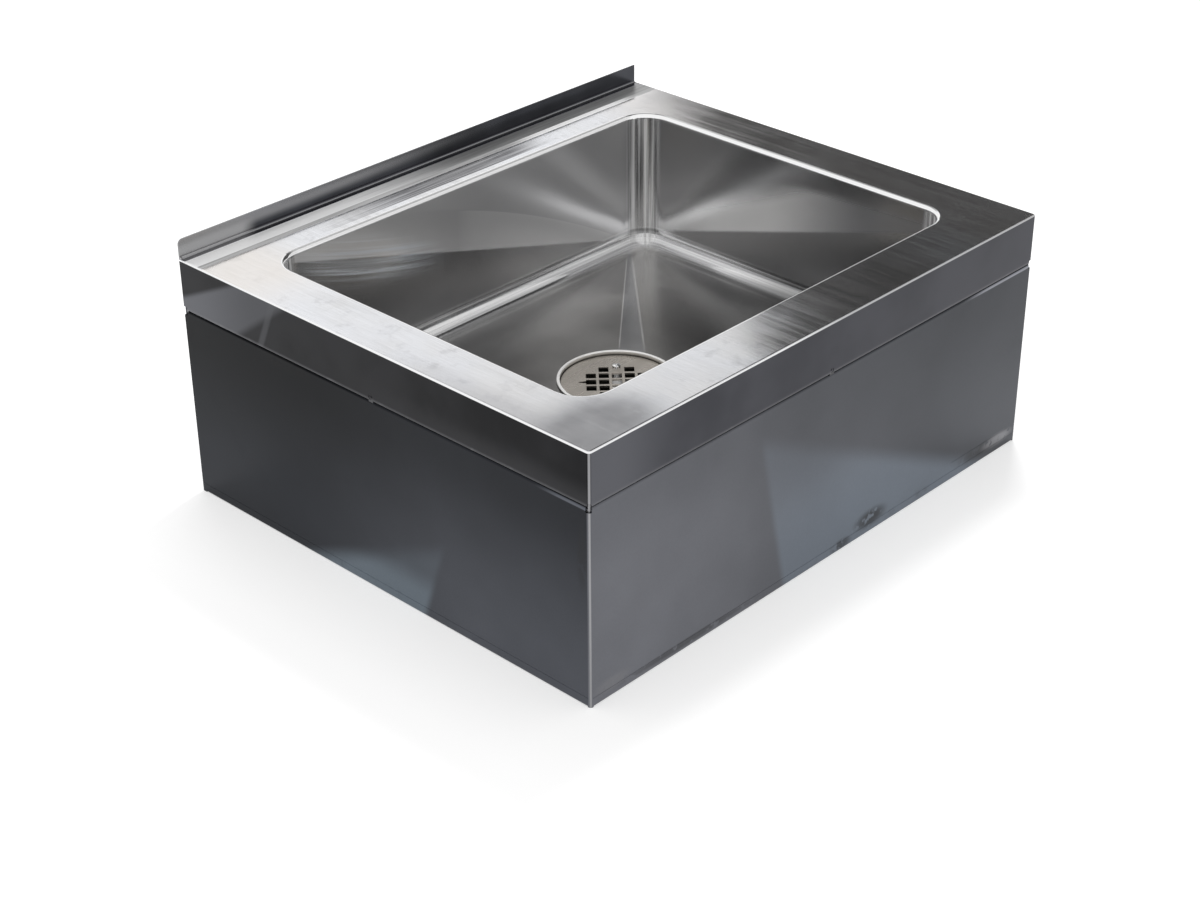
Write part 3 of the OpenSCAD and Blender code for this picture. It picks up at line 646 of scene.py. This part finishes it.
# %% Painted reflections on the rear wall: a light upper part over a darker lower one, a pale wedge and a bluish fan of fine strokes
color = blend_of(tree, clouds, *BARE_WALL)
upper = ramp_up(tree, tilted(tree, x, z, -0.285), 0.1745, 0.1775)
under_color = blend_of(tree, ramp_up(tree, x, 0.0, 0.14), *UNDER)
upper_color = blend_of(tree, ramp_up(tree, x, -0.06, 0.03), *UPPER)
rear_color = blend_of(tree, upper, under_color, upper_color)
x_square = sum_of(tree, "MULTIPLY", x, x)
bent = scaled(tree, x_square, 0.6, tilted(tree, x, z, -0.34))
wedge = part_of(tree, upper, ramp_up(tree, bent, 0.2235, 0.2195), ramp_up(tree, x, -0.10, 0.01))
rear_color = blend_of(tree, wedge, rear_color, WEDGE)
sweep = scaled(tree, x_square, -0.55, tilted(tree, x, z, -0.12))
fan = part_of(
    tree, streaks_along(tree, x, sweep, 0.30, 0.0060, 3.0),
    spot(tree, x, tilted(tree, x, z, -0.28), (-0.145, 0.172), (0.120, 0.034), 0.35))
rear_color = blend_of(tree, fan, rear_color, FAN)
color = blend_of(tree, on_rear, color, rear_color)

# %% A painted reflection on the right wall: a pale band, dimmer towards the corner
edge = tilted(tree, y, z, -0.30)
band = part_of(
    tree, ramp_up(tree, edge, 0.1695, 0.1735),
    ramp_up(tree, tilted(tree, y, z, -0.05), 0.234, 0.222),
    ramp_up(tree, tilted(tree, y, z, -0.45), 0.235, 0.205))
right_color = blend_of(tree, ramp_up(tree, edge, 0.1725, 0.1685), *RIGHT_WALL)
band_color = blend_of(tree, ramp_up(tree, y, -0.12, 0.03), *BAND)
band_color = shaded(tree, band_color, ramp_up(tree, y, 0.09, 0.17), 1.0, 0.6)
right_color = blend_of(tree, band, right_color, band_color)
color = blend_of(tree, on_right, color, right_color)

# %% The upright corners: painted highlights in thin upright lines
round_it = sum_of(tree, "SUBTRACT", side_x, side_y)
corner_highlights = streaks_along(tree, z, round_it, 0.30, 0.0060, 1.0)
corner_color = blend_of(tree, corner_highlights, *CORNER_HIGHLIGHTS)
color = blend_of(tree, in_corner, color, corner_color)

# %% The floor: painted highlights on two fine creases, a painted reflection between them, and painted dark reflection on either side
# Inward grows from the floor's far right corner to the drain, and aside across that line.
DIAGONAL_X, DIAGONAL_Y, CORNER_TO_DRAIN = 0.796, 0.605, 0.2863
aside = scaled(tree, y, -DIAGONAL_X, sum_of(tree, "MULTIPLY", x, DIAGONAL_Y))
inward = scaled(tree, y, -DIAGONAL_Y, scaled(tree, x, -DIAGONAL_X, CORNER_TO_DRAIN))
# Painted reflection across the diagonal: darker far to one side, lighter near it, and very dark on
# the other side.
floor_color = blend_of(tree, ramp_up(tree, aside, -0.13, -0.05), *FLOOR_STEEL)
floor_color = blend_of(tree, ramp_up(tree, aside, 0.0, 0.10), floor_color, FLOOR_RIGHT_DARK_REFLECTION)
left_crease = tilted(tree, inward, aside, 0.058)
right_crease = tilted(tree, inward, aside, 0.155)
beam = part_of(
    tree, ramp_up(tree, left_crease, -0.0170, -0.0145), ramp_up(tree, right_crease, -0.009, -0.014),
    ramp_up(tree, inward, 0.285, 0.265))
floor_color = blend_of(tree, beam, floor_color, BEAM_REFLECTION)
lines = sum_of(
    tree, "MAXIMUM", between(tree, left_crease, -0.0167, -0.0155, 0.0010),
    part_of(
        tree, between(tree, right_crease, -0.0125, -0.0105, 0.0016),
        scaled(tree, smears, 0.4, 0.5)))
lines = part_of(tree, lines, ramp_up(tree, inward, 0.0, 0.03), ramp_up(tree, inward, 0.235, 0.20))
floor_color = blend_of(tree, part_of(tree, lines, 0.9), floor_color, CREASE_HIGHLIGHT)
floor_color = shaded(tree, floor_color, clouds, 0.80, 1.20)
# Painted darker towards the drain.
floor_color = shaded(tree, floor_color, ramp_up(tree, inward, 0.07, 0.25), 1.2, 0.60)
color = blend_of(tree, on_floor, color, floor_color)
# Painted highlights along the coves, painted shade where they run into the corners and at the right
# cove's near end, and a painted highlight on the rim.
cove_highlights = streaks_along(tree, sum_of(tree, "ADD", x, y), z, 0.50, 0.0030, 2.0)
cove_color = blend_of(tree, cove_highlights, *COVE_HIGHLIGHTS)
cove_color = blend_of(tree, part_of(tree, in_corner, 0.5), cove_color, COVE_CORNER_SHADE)
cove_end_shade = part_of(tree, ramp_up(tree, x, 0.20, 0.23), ramp_up(tree, y, 0.09, -0.03))
cove_color = shaded(tree, cove_color, cove_end_shade, 1.0, 0.40)
color = blend_of(tree, in_cove, color, cove_color)
color = blend_of(tree, on_rim, color, RIM_HIGHLIGHT)
color = shaded(tree, color, grain, 0.98, 1.02)
tree.links.new(color, shader.inputs["Base Color"])

# %% How sharply the bowl mirrors: where highlights and reflections are painted, it scatters a little light as well
scatter = sum_of(tree, "MAXIMUM", part_of(tree, upper, 0.8), wedge)
scatter = part_of(tree, on_rear, scaled(
    tree, fan, 0.35, part_of(tree, scatter, 0.42)))
scatter = scaled(tree, part_of(tree, band, on_right), 0.34, scatter)
off_rim = ramp_up(tree, on_rim, 1.0, 0.0)
scatter = scaled(tree, part_of(tree, corner_highlights, in_corner, off_rim), 0.80, scatter)
scatter = scaled(tree, part_of(tree, cove_highlights, in_cove), 0.42, scatter)
tree.links.new(sum_of(tree, "SUBTRACT", 1.0, scatter), shader.inputs["Metallic"])
rough = scaled(tree, clouds, 0.05, 0.17)
rough = scaled(tree, on_floor, 0.05, rough)
rough = scaled(tree, polished, -0.09, rough)
tree.links.new(rough, shader.inputs["Roughness"])
tree.links.new(buckled(tree, where, 8.0, 0.0014), shader.inputs["Normal"])
print("bowl_steel:", len(tree.nodes), "nodes")

# %% [markdown]
# ## The skirt panels
# The four panels are cold-rolled sheet with a finely ground skin. Their dark colour is a
# painted reflection of dark surroundings, darker at the far end and at the top, lighter at
# the near end and at the foot; the side panels are painted darker than the front, as painted
# shade. Their large faces show soft clouds, a painted bluish reflection low in the middle,
# and short painted highlights on a seam's bend and along the near corner. The bluish
# reflection is a triangle: sharp along a slanted side, and soft under the sloping line of
# its upper side.


# %% Skirt steel
def skirt_steel(name, far, near, ends, axis, lift, sheen, cut, roof, marks):
    """
    far, near: the colours at the two ends of the panel, which ends gives along its axis;
    the change between them is painted reflection
    lift: how much of them stays at its top and at its foot, a painted reflection
    sheen: the colour of the painted bluish reflection; cut, roof: slope and offset of its
    slanted and its upper side
    marks: (place, reach, strength, shade) of every darker or lighter spot
    """
    tree, shader = metal_named(name)
    where, x, y, z = place_axes(tree)
    along, outward = (x, y) if axis == 0 else (y, x)
    clouds, smears = use_group(tree, cloud_group, Vector=where, Cloud_Scale=5.0)
    grain, _ = use_group(tree, grain_group, Vector=where, Grain_Size=EVEN_GRAIN)
    # Painted reflection: darker towards the far end and the top, lighter towards the near end and
    # the foot.
    color = blend_of(tree, ramp_up(tree, along, *ends), near, far)
    color = shaded(tree, color, clouds, 0.88, 1.12)
    color = shaded(tree, color, ramp_up(tree, z, 0.195, 0.015), *lift)

    # The bluish sheen is a painted reflection: a triangle, sharp along a slanted side and soft
    # under its upper side.
    outer_side = ramp_up(tree, outward, 0.0, -0.2)
    past_edge = tilted(tree, z, along, -cut[0])
    under_roof = sum_of(tree, "SUBTRACT", roof[1], tilted(tree, along, z, -roof[0]))
    painted_sheen = part_of(
        tree, ramp_up(tree, past_edge, cut[1] - 0.005, cut[1] + 0.006),
        scaled(tree, ramp_up(tree, z, roof[1] * 1.2, 0.02), 0.70, 0.30),
        ramp_up(tree, under_roof, -0.012, 0.014),
        scaled(tree, clouds, 0.2, 0.8), outer_side)
    color = blend_of(tree, painted_sheen, color, sheen)
    for place, size, strength, shade in marks:
        mark = part_of(
            tree, spot(tree, along, z, place, size, 0.3), outer_side,
            ramp_up(tree, noise_in(tree, where, 110.0, 3.0, 0.6), 0.36, 0.46), strength)
        color = blend_of(tree, mark, color, (shade, shade, shade * 1.05))

    foot = part_of(tree, ramp_up(tree, z, 0.016, 0.004), smears, 0.5)
    color = blend_of(tree, foot, color, tuple(v * 0.45 for v in near))
    # Painted highlight on the bend under the seam at one end of the panel, and along the near
    # corner's edge.
    seam_highlight = ramp_up(tree, along, 0.20, 0.25) if axis == 0 else ramp_up(tree, along, -0.20, -0.24)
    under_seam = between(tree, z, SEAM_Z - 0.0035, SEAM_Z - 0.0008, 0.001)
    seam_highlight = part_of(tree, under_seam, seam_highlight, outer_side)
    color = blend_of(tree, seam_highlight, color, tuple(v * 1.7 for v in near))
    color = blend_of(tree, near_corner(tree, x, y, 0.0020), color, (0.32, 0.32, 0.33))
    color = shaded(tree, color, grain, 0.94, 1.06)
    tree.links.new(color, shader.inputs["Base Color"])

    rough = scaled(tree, smears, 0.06, 0.32)
    tree.links.new(rough, shader.inputs["Roughness"])
    tree.links.new(buckled(tree, where, 5.0, 0.0012), shader.inputs["Normal"])
    print(name + ":", len(tree.nodes), "nodes")


skirt_steel(
    "front_steel", far=(0.056, 0.059, 0.067), near=(0.138, 0.142, 0.158), ends=(-0.30, 0.22),
    axis=0, lift=(0.76, 1.22), sheen=(0.164, 0.190, 0.226), cut=(0.226, -0.058),
    roof=(0.48, 0.122), marks=(
        ((0.073, 0.016), (0.032, 0.013), 0.8, 0.03), ((0.028, 0.006), (0.020, 0.008), 0.7, 0.03),
        ((0.262, 0.013), (0.056, 0.010), 0.5, 0.035), ((0.285, 0.014), (0.034, 0.009), 0.7, 0.26),
        ((-0.19, 0.007), (0.12, 0.005), 0.6, 0.05), ((-0.29, 0.014), (0.03, 0.010), 0.5, 0.22)))
# The side panels take darker colours than the front: painted shade.
skirt_steel(
    "side_steel", far=(0.012, 0.0135, 0.017), near=(0.062, 0.066, 0.077), ends=(-0.16, 0.16),
    axis=1, lift=(0.33, 1.42), sheen=(0.150, 0.182, 0.214), cut=(0.34, -0.0589),
    roof=(0.45, 0.0425), marks=(
        ((-0.258, 0.15), (0.008, 0.045), 0.5, 0.03), ((0.12, 0.196), (0.05, 0.010), 0.6, 0.008)))

# %% [markdown]
# ## Small and hidden pieces
# Everything else is small or sits underneath, where it is seen only when the sink is
# turned over: mill-finish steel, black rubber, a pale plastic ring, a cast brass nut and
# the bright drain. One function makes them all, with faint clouds and a fine grain whose
# direction follows how the piece was made.


# %% Small and hidden finishes
IN_THE_DARK = (0.10, 0.095, 0.085)
RUBBER_GRAIN = (0.003, 0.003, 0.003)


def plain_finish(
        name, color, roughness, grain_size=(0.001, 0.001, 0.02), spread=0.2, metallic=1.0,
        shade=None):
    """shade: the heights where the metal is still bright and where it is all in the dark."""
    tree, shader = metal_named(name)
    shader.inputs["Metallic"].default_value = metallic
    where, x, y, z = place_axes(tree)
    grain, streaks = use_group(tree, grain_group, Vector=where, Grain_Size=grain_size)
    clouds, smears = use_group(tree, cloud_group, Vector=where, Cloud_Scale=30.0)
    dark = tuple(v * (1 - spread) for v in color)
    mixed = blend_of(tree, clouds, dark, color)
    mixed = blend_of(tree, part_of(tree, smears, 0.3), mixed, dark)
    if shade:
        mixed = blend_of(tree, ramp_up(tree, z, *shade), mixed, IN_THE_DARK)
    tree.links.new(mixed, shader.inputs["Base Color"])
    rough = scaled(tree, streaks, 0.08, roughness)
    tree.links.new(rough, shader.inputs["Roughness"])
    tree.links.new(bump_onto(tree, grain, GRAIN_DEPTH), shader.inputs["Normal"])


plain_finish("inner_steel", (0.33, 0.33, 0.34), 0.35)
plain_finish("weld_steel", (0.09, 0.09, 0.095), 0.4, EVEN_GRAIN)
plain_finish("pad_rubber", (0.03, 0.03, 0.03), 0.65, RUBBER_GRAIN, metallic=0.0)
plain_finish("drain_chrome", (0.98, 0.97, 0.95), 0.16, (0.004, 0.004, 0.0006), 0.06, metallic=0.70,
             shade=(0.0998, 0.0962))
plain_finish("seal_rubber", (0.025, 0.025, 0.025), 0.55, RUBBER_GRAIN, metallic=0.0)
plain_finish("ring_plastic", (0.62, 0.60, 0.52), 0.45, RUBBER_GRAIN, metallic=0.0)
plain_finish("nut_brass", (0.62, 0.44, 0.19), 0.32, (0.004, 0.004, 0.001))
plain_finish("bar_steel", (0.92, 0.92, 0.92), 0.20, (0.02, 0.001, 0.001), 0.1, metallic=0.6)
plain_finish("strainer_steel", (0.47, 0.435, 0.39), 0.24, (0.02, 0.0015, 0.02), 0.10, metallic=0.82)
plain_finish("screw_steel", (0.86, 0.86, 0.85), 0.10, EVEN_GRAIN, 0.06)

# %% Each CAD piece gets its metal
for part in frame["record"]["subparts"]:
    piece = cad[part["node"]]
    piece.data.materials.clear()
    piece.data.materials.append(finishes[part["material_slot"]])
print("finishes:", len(finishes))

# %% [markdown]
# ## The strainer plate
# The plate is punched from bright sheet: nineteen square holes on a turned grid, two
# tapered slots and two holes for screws. A grid of points, thinned where the real plate
# has no hole, carries one square outline each; filling the disc around those outlines and
# pushing it up by the sheet's thickness gives the plate. The slots run into the holes
# beside them, so they are cut out of the finished disc. Geometry Nodes do that well,
# because one changed number moves every hole.


# %% Geometry Nodes helpers
def geometry_tree(name, inputs):
    tree = bpy.data.node_groups.new(name, "GeometryNodeTree")
    tree.interface.new_socket("Geometry", in_out="OUTPUT", socket_type="NodeSocketGeometry")
    for title, kind, value in inputs:
        socket = tree.interface.new_socket(title, in_out="INPUT", socket_type=kind)
        if value is not None:
            socket.default_value = value
    return tree, tree.nodes.new("NodeGroupInput").outputs, tree.nodes.new("NodeGroupOutput")


def add_step(tree, kind, settings=None, **values):
    """A geometry node with its settings and its inputs, by name."""
    node = tree.nodes.new(kind)
    for title, value in (settings or {}).items():
        setattr(node, title, value)
    for title, value in values.items():
        connect(tree, value, node.inputs[title.replace("_", " ")])
    return node


def joined(tree, *pieces):
    node = tree.nodes.new("GeometryNodeJoinGeometry")
    for piece in pieces:
        tree.links.new(piece, node.inputs[0])
    return node.outputs[0]


def made_by(tree, name, values):
    """Runs a tree on an empty object and keeps the result as a plain mesh object."""
    holder = bpy.data.objects.new(name + " maker", bpy.data.meshes.new(name + " maker"))
    scene.collection.objects.link(holder)
    modifier = holder.modifiers.new("nodes", "NODES")
    modifier.node_group = tree
    for item in tree.interface.items_tree:
        if item.in_out == "INPUT" and item.name in values:
            modifier[item.identifier] = values[item.name]
    view = bpy.context.evaluated_depsgraph_get()
    mesh = bpy.data.meshes.new_from_object(holder.evaluated_get(view))
    bpy.data.objects.remove(holder)
    mesh.name = name
    piece = bpy.data.objects.new(name, mesh)
    scene.collection.objects.link(piece)
    return piece


BEVEL_STEPS = 2
FLAT_ANGLE, SHARP_ANGLE = math.radians(1), math.radians(35)
SAME_POINT = 1e-6


def soften_edges(piece, width):
    """Merges doubled points and rounds the sharp edges a little."""
    shape = bmesh.new()
    shape.from_mesh(piece.data)
    bmesh.ops.remove_doubles(shape, verts=shape.verts, dist=SAME_POINT)
    loose = [edge for edge in shape.edges if not edge.link_faces]
    bmesh.ops.delete(shape, geom=loose, context="EDGES")
    open_edges = sum(1 for edge in shape.edges if len(edge.link_faces) != 2)
    bmesh.ops.dissolve_limit(
        shape, angle_limit=FLAT_ANGLE, verts=shape.verts, edges=shape.edges)
    bmesh.ops.recalc_face_normals(shape, faces=shape.faces)
    shape.to_mesh(piece.data)
    shape.free()
    bevel = piece.modifiers.new("soft edges", "BEVEL")
    bevel.width = width
    bevel.segments = BEVEL_STEPS
    bevel.limit_method = "ANGLE"
    bevel.angle_limit = SHARP_ANGLE
    bevel.harden_normals = True
    for face in piece.data.polygons:
        face.use_smooth = True
    piece.data.set_sharp_from_angle(angle=SHARP_ANGLE)
    counts = len(piece.data.vertices), len(loose), open_edges
    print(piece.name, "%d points, %d loose and %d open edges" % counts)


# %% The plate's tree
FLOAT, VECTOR, METAL = "NodeSocketFloat", "NodeSocketVector", "NodeSocketMaterial"
GRID_TURN = math.radians(45)
SLOT_FOOT, SLOT_TIP = 0.005, 0.002
tree, given, end = geometry_tree("punched plate", [
    ("Plate Radius", FLOAT, 0.0566), ("Plate Thickness", FLOAT, 0.002),
    ("Hole Side", FLOAT, 0.010), ("Hole Pitch", FLOAT, 0.013),
    ("Screw Hole Radius", FLOAT, 0.0028), ("Slot Length", FLOAT, 0.008),
    ("Slot Start", FLOAT, 0.0305), ("Place", VECTOR, (0, 0, 0)), ("Metal", METAL, None)])
rim = add_step(
    tree, "GeometryNodeCurvePrimitiveCircle", Resolution=128, Radius=given["Plate Radius"])
four = sum_of(tree, "MULTIPLY", given["Hole Pitch"], 4.0)
grid = add_step(tree, "GeometryNodeMeshGrid", Size_X=four, Size_Y=four, Vertices_X=5, Vertices_Y=5)
spots = add_step(tree, "GeometryNodeInputPosition")
parts = add_step(tree, "ShaderNodeSeparateXYZ", Vector=spots.outputs[0])
column = sum_of(tree, "ABSOLUTE", sum_of(tree, "DIVIDE", parts.outputs[0], given["Hole Pitch"]))
row = sum_of(tree, "ABSOLUTE", sum_of(tree, "DIVIDE", parts.outputs[1], given["Hole Pitch"]))
corner_hole = sum_of(tree, "GREATER_THAN", sum_of(tree, "ADD", column, row), 3.5)
screw_hole = sum_of(
    tree, "MULTIPLY", sum_of(tree, "GREATER_THAN", column, 1.5),
    sum_of(tree, "LESS_THAN", row, 0.5))
left_out = sum_of(tree, "MAXIMUM", corner_hole, screw_hole)
kept = add_step(tree, "GeometryNodeDeleteGeometry", {"domain": "POINT"},
                Geometry=grid.outputs["Mesh"], Selection=left_out)
square = add_step(tree, "GeometryNodeCurvePrimitiveQuadrilateral", Width=given["Hole Side"],
                  Height=given["Hole Side"])
holes = add_step(tree, "GeometryNodeInstanceOnPoints", Points=kept.outputs[0],
                 Instance=square.outputs[0])
round_hole = add_step(tree, "GeometryNodeCurvePrimitiveCircle", Resolution=28,
                      Radius=given["Screw Hole Radius"])
screw_x = sum_of(tree, "MULTIPLY", given["Hole Pitch"], 2.0)
pair = add_step(tree, "GeometryNodeMeshLine", Count=2,
                Start_Location=vector_of(tree, sum_of(tree, "MULTIPLY", screw_x, -1.0)),
                Offset=vector_of(tree, sum_of(tree, "MULTIPLY", screw_x, 2.0)))
round_holes = add_step(tree, "GeometryNodeInstanceOnPoints", Points=pair.outputs[0],
                       Instance=round_hole.outputs[0])
slot = add_step(tree, "GeometryNodeCurvePrimitiveQuadrilateral", {"mode": "TRAPEZOID"})
connect(tree, SLOT_FOOT, slot.inputs["Bottom Width"])
connect(tree, SLOT_TIP, slot.inputs["Top Width"])
connect(tree, 0.0, slot.inputs["Offset"])
connect(tree, given["Slot Length"], slot.inputs["Height"])
slot_y = scaled(tree, given["Slot Length"], 0.5, given["Slot Start"])
slots = []
for turn in (0.0, math.pi):
    moved = add_step(tree, "GeometryNodeTransform", Geometry=slot.outputs[0],
                     Translation=vector_of(tree, 0.0, slot_y))
    slots.append(add_step(tree, "GeometryNodeTransform", Geometry=moved.outputs[0],
                          Rotation=(0.0, 0.0, turn)).outputs[0])
outlines = add_step(tree, "GeometryNodeRealizeInstances", Geometry=joined(
    tree, rim.outputs[0], holes.outputs[0], round_holes.outputs[0]))


def slab(tree, curve, thickness):
    """A closed slab of this thickness on the plane that the outlines lie in."""
    sheet = add_step(tree, "GeometryNodeFillCurve", Curve=curve)
    pushed = add_step(tree, "GeometryNodeExtrudeMesh", {"mode": "FACES"}, Mesh=sheet.outputs[0],
                      Offset=(0.0, 0.0, 1.0), Offset_Scale=thickness, Individual=False)
    under = add_step(tree, "GeometryNodeFlipFaces", Mesh=sheet.outputs[0])
    both_sides = joined(tree, pushed.outputs["Mesh"], under.outputs[0])
    return add_step(tree, "GeometryNodeMergeByDistance", Geometry=both_sides,
                    Distance=SAME_POINT)


disc = slab(tree, outlines.outputs[0], given["Plate Thickness"])
cutter = slab(tree, joined(tree, *slots), sum_of(tree, "MULTIPLY", given["Plate Thickness"], 3.0))
cutter = add_step(tree, "GeometryNodeTransform", Geometry=cutter.outputs[0], Translation=vector_of(
    tree, 0.0, 0.0, sum_of(tree, "MULTIPLY", given["Plate Thickness"], -1.0)))
closed = add_step(tree, "GeometryNodeMeshBoolean", {"operation": "DIFFERENCE"})
tree.links.new(disc.outputs[0], closed.inputs["Mesh 1"])
tree.links.new(cutter.outputs[0], closed.inputs["Mesh 2"])
placed = add_step(tree, "GeometryNodeTransform", Geometry=closed.outputs[0],
                  Translation=given["Place"], Rotation=(0.0, 0.0, GRID_TURN))
real = add_step(tree, "GeometryNodeRealizeInstances", Geometry=placed.outputs[0])
coated = add_step(tree, "GeometryNodeSetMaterial", Geometry=real.outputs[0],
                  Material=given["Metal"])
tree.links.new(coated.outputs[0], end.inputs[0])

# %% Punch the plate
plate_low, plate_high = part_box("strainer_plate")
drain_middle = (plate_low + plate_high) / 2
plate = made_by(tree, "punched_plate", {
    "Plate Radius": (plate_high.x - plate_low.x) / 2, "Plate Thickness": plate_high.z - plate_low.z,
    "Place": (drain_middle.x, drain_middle.y, plate_low.z), "Metal": finishes["strainer_steel"]})
soften_edges(plate, 0.00035)
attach(plate, "strainer")
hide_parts("strainer_plate")

# %% [markdown]
# ## The strainer's screws
# Each screw is a turned head with a domed top and a sawn slot, on a plain shaft that
# reaches through the bar. Rings of points on the head's lid sink the further out they
# stand, which makes the dome; a thin box taken away makes the slot. One screw is built
# and set down at two points, as two equal screws from one box would be.

# %% The screws' tree
# The shaft reaches this far into the head, so that the two join cleanly.
OVERLAP = 0.001
tree, given, end = geometry_tree("slotted screws", [
    ("Head Radius", FLOAT, 0.0042), ("Head Height", FLOAT, 0.006), ("Dome Drop", FLOAT, 0.0011),
    ("Shaft Radius", FLOAT, 0.0025), ("Shaft Length", FLOAT, 0.0123),
    ("Slot Width", FLOAT, 0.0012), ("Slot Depth", FLOAT, 0.002), ("Reach", FLOAT, 0.026),
    ("Place", VECTOR, (0, 0, 0)), ("Metal", METAL, None)])
half_head = sum_of(tree, "MULTIPLY", given["Head Height"], 0.5)
head = add_step(tree, "GeometryNodeMeshCylinder", Vertices=40, Side_Segments=1, Fill_Segments=6,
                Radius=given["Head Radius"], Depth=given["Head Height"])
spots = add_step(tree, "GeometryNodeInputPosition")
parts = add_step(tree, "ShaderNodeSeparateXYZ", Vector=spots.outputs[0])
across = scaled(
    tree, parts.outputs[0], parts.outputs[0],
    sum_of(tree, "MULTIPLY", parts.outputs[1], parts.outputs[1]))
share = sum_of(
    tree, "DIVIDE", across, sum_of(tree, "MULTIPLY", given["Head Radius"], given["Head Radius"]))
drop = sum_of(
    tree, "MULTIPLY", sum_of(tree, "MULTIPLY", share, given["Dome Drop"]),
    sum_of(tree, "GREATER_THAN", parts.outputs[2], 0.0))
domed = add_step(tree, "GeometryNodeSetPosition", Geometry=head.outputs["Mesh"],
                 Offset=vector_of(tree, 0.0, 0.0, sum_of(tree, "MULTIPLY", drop, -1.0)))
saw = add_step(tree, "GeometryNodeMeshCube", Size=vector_of(
    tree, sum_of(tree, "MULTIPLY", given["Head Radius"], 3.0), given["Slot Width"],
    sum_of(tree, "MULTIPLY", given["Slot Depth"], 2.0)))
saw = add_step(tree, "GeometryNodeTransform", Geometry=saw.outputs["Mesh"],
               Translation=vector_of(tree, 0.0, 0.0, half_head))
sawn = add_step(tree, "GeometryNodeMeshBoolean", {"operation": "DIFFERENCE"})
tree.links.new(domed.outputs[0], sawn.inputs["Mesh 1"])
tree.links.new(saw.outputs[0], sawn.inputs["Mesh 2"])
shaft = add_step(tree, "GeometryNodeMeshCylinder", Vertices=24, Side_Segments=1, Fill_Segments=1,
                 Radius=given["Shaft Radius"],
                 Depth=sum_of(tree, "ADD", given["Shaft Length"], OVERLAP))
shaft_z = sum_of(
    tree, "SUBTRACT", OVERLAP / 2, sum_of(
        tree, "MULTIPLY", sum_of(tree, "ADD", given["Shaft Length"], given["Head Height"]), 0.5))
shaft = add_step(tree, "GeometryNodeTransform", Geometry=shaft.outputs["Mesh"],
                 Translation=vector_of(tree, 0.0, 0.0, shaft_z))
whole = add_step(tree, "GeometryNodeMeshBoolean", {"operation": "UNION"})
for piece in (sawn.outputs["Mesh"], shaft.outputs[0]):
    tree.links.new(piece, whole.inputs["Mesh 2"])
pair = add_step(tree, "GeometryNodeMeshLine", Count=2,
                Start_Location=vector_of(tree, sum_of(tree, "MULTIPLY", given["Reach"], -1.0)),
                Offset=vector_of(tree, sum_of(tree, "MULTIPLY", given["Reach"], 2.0)))
both = add_step(tree, "GeometryNodeInstanceOnPoints", Points=pair.outputs[0],
                Instance=whole.outputs["Mesh"])
placed = add_step(tree, "GeometryNodeTransform", Geometry=both.outputs[0],
                  Translation=given["Place"], Rotation=(0.0, 0.0, GRID_TURN))
real = add_step(tree, "GeometryNodeRealizeInstances", Geometry=placed.outputs[0])
coated = add_step(tree, "GeometryNodeSetMaterial", Geometry=real.outputs[0],
                  Material=given["Metal"])
tree.links.new(coated.outputs[0], end.inputs[0])

# %% Turn the screws
screws_low, screws_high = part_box("strainer_screws")
HEAD_HEIGHT = 0.006
screws = made_by(tree, "slotted_screws", {
    "Head Height": HEAD_HEIGHT, "Shaft Length": screws_high.z - screws_low.z - HEAD_HEIGHT,
    "Place": (drain_middle.x, drain_middle.y, screws_high.z - HEAD_HEIGHT / 2),
    "Metal": finishes["screw_steel"]})
soften_edges(screws, 0.00015)
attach(screws, "strainer")
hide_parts("strainer_screws")
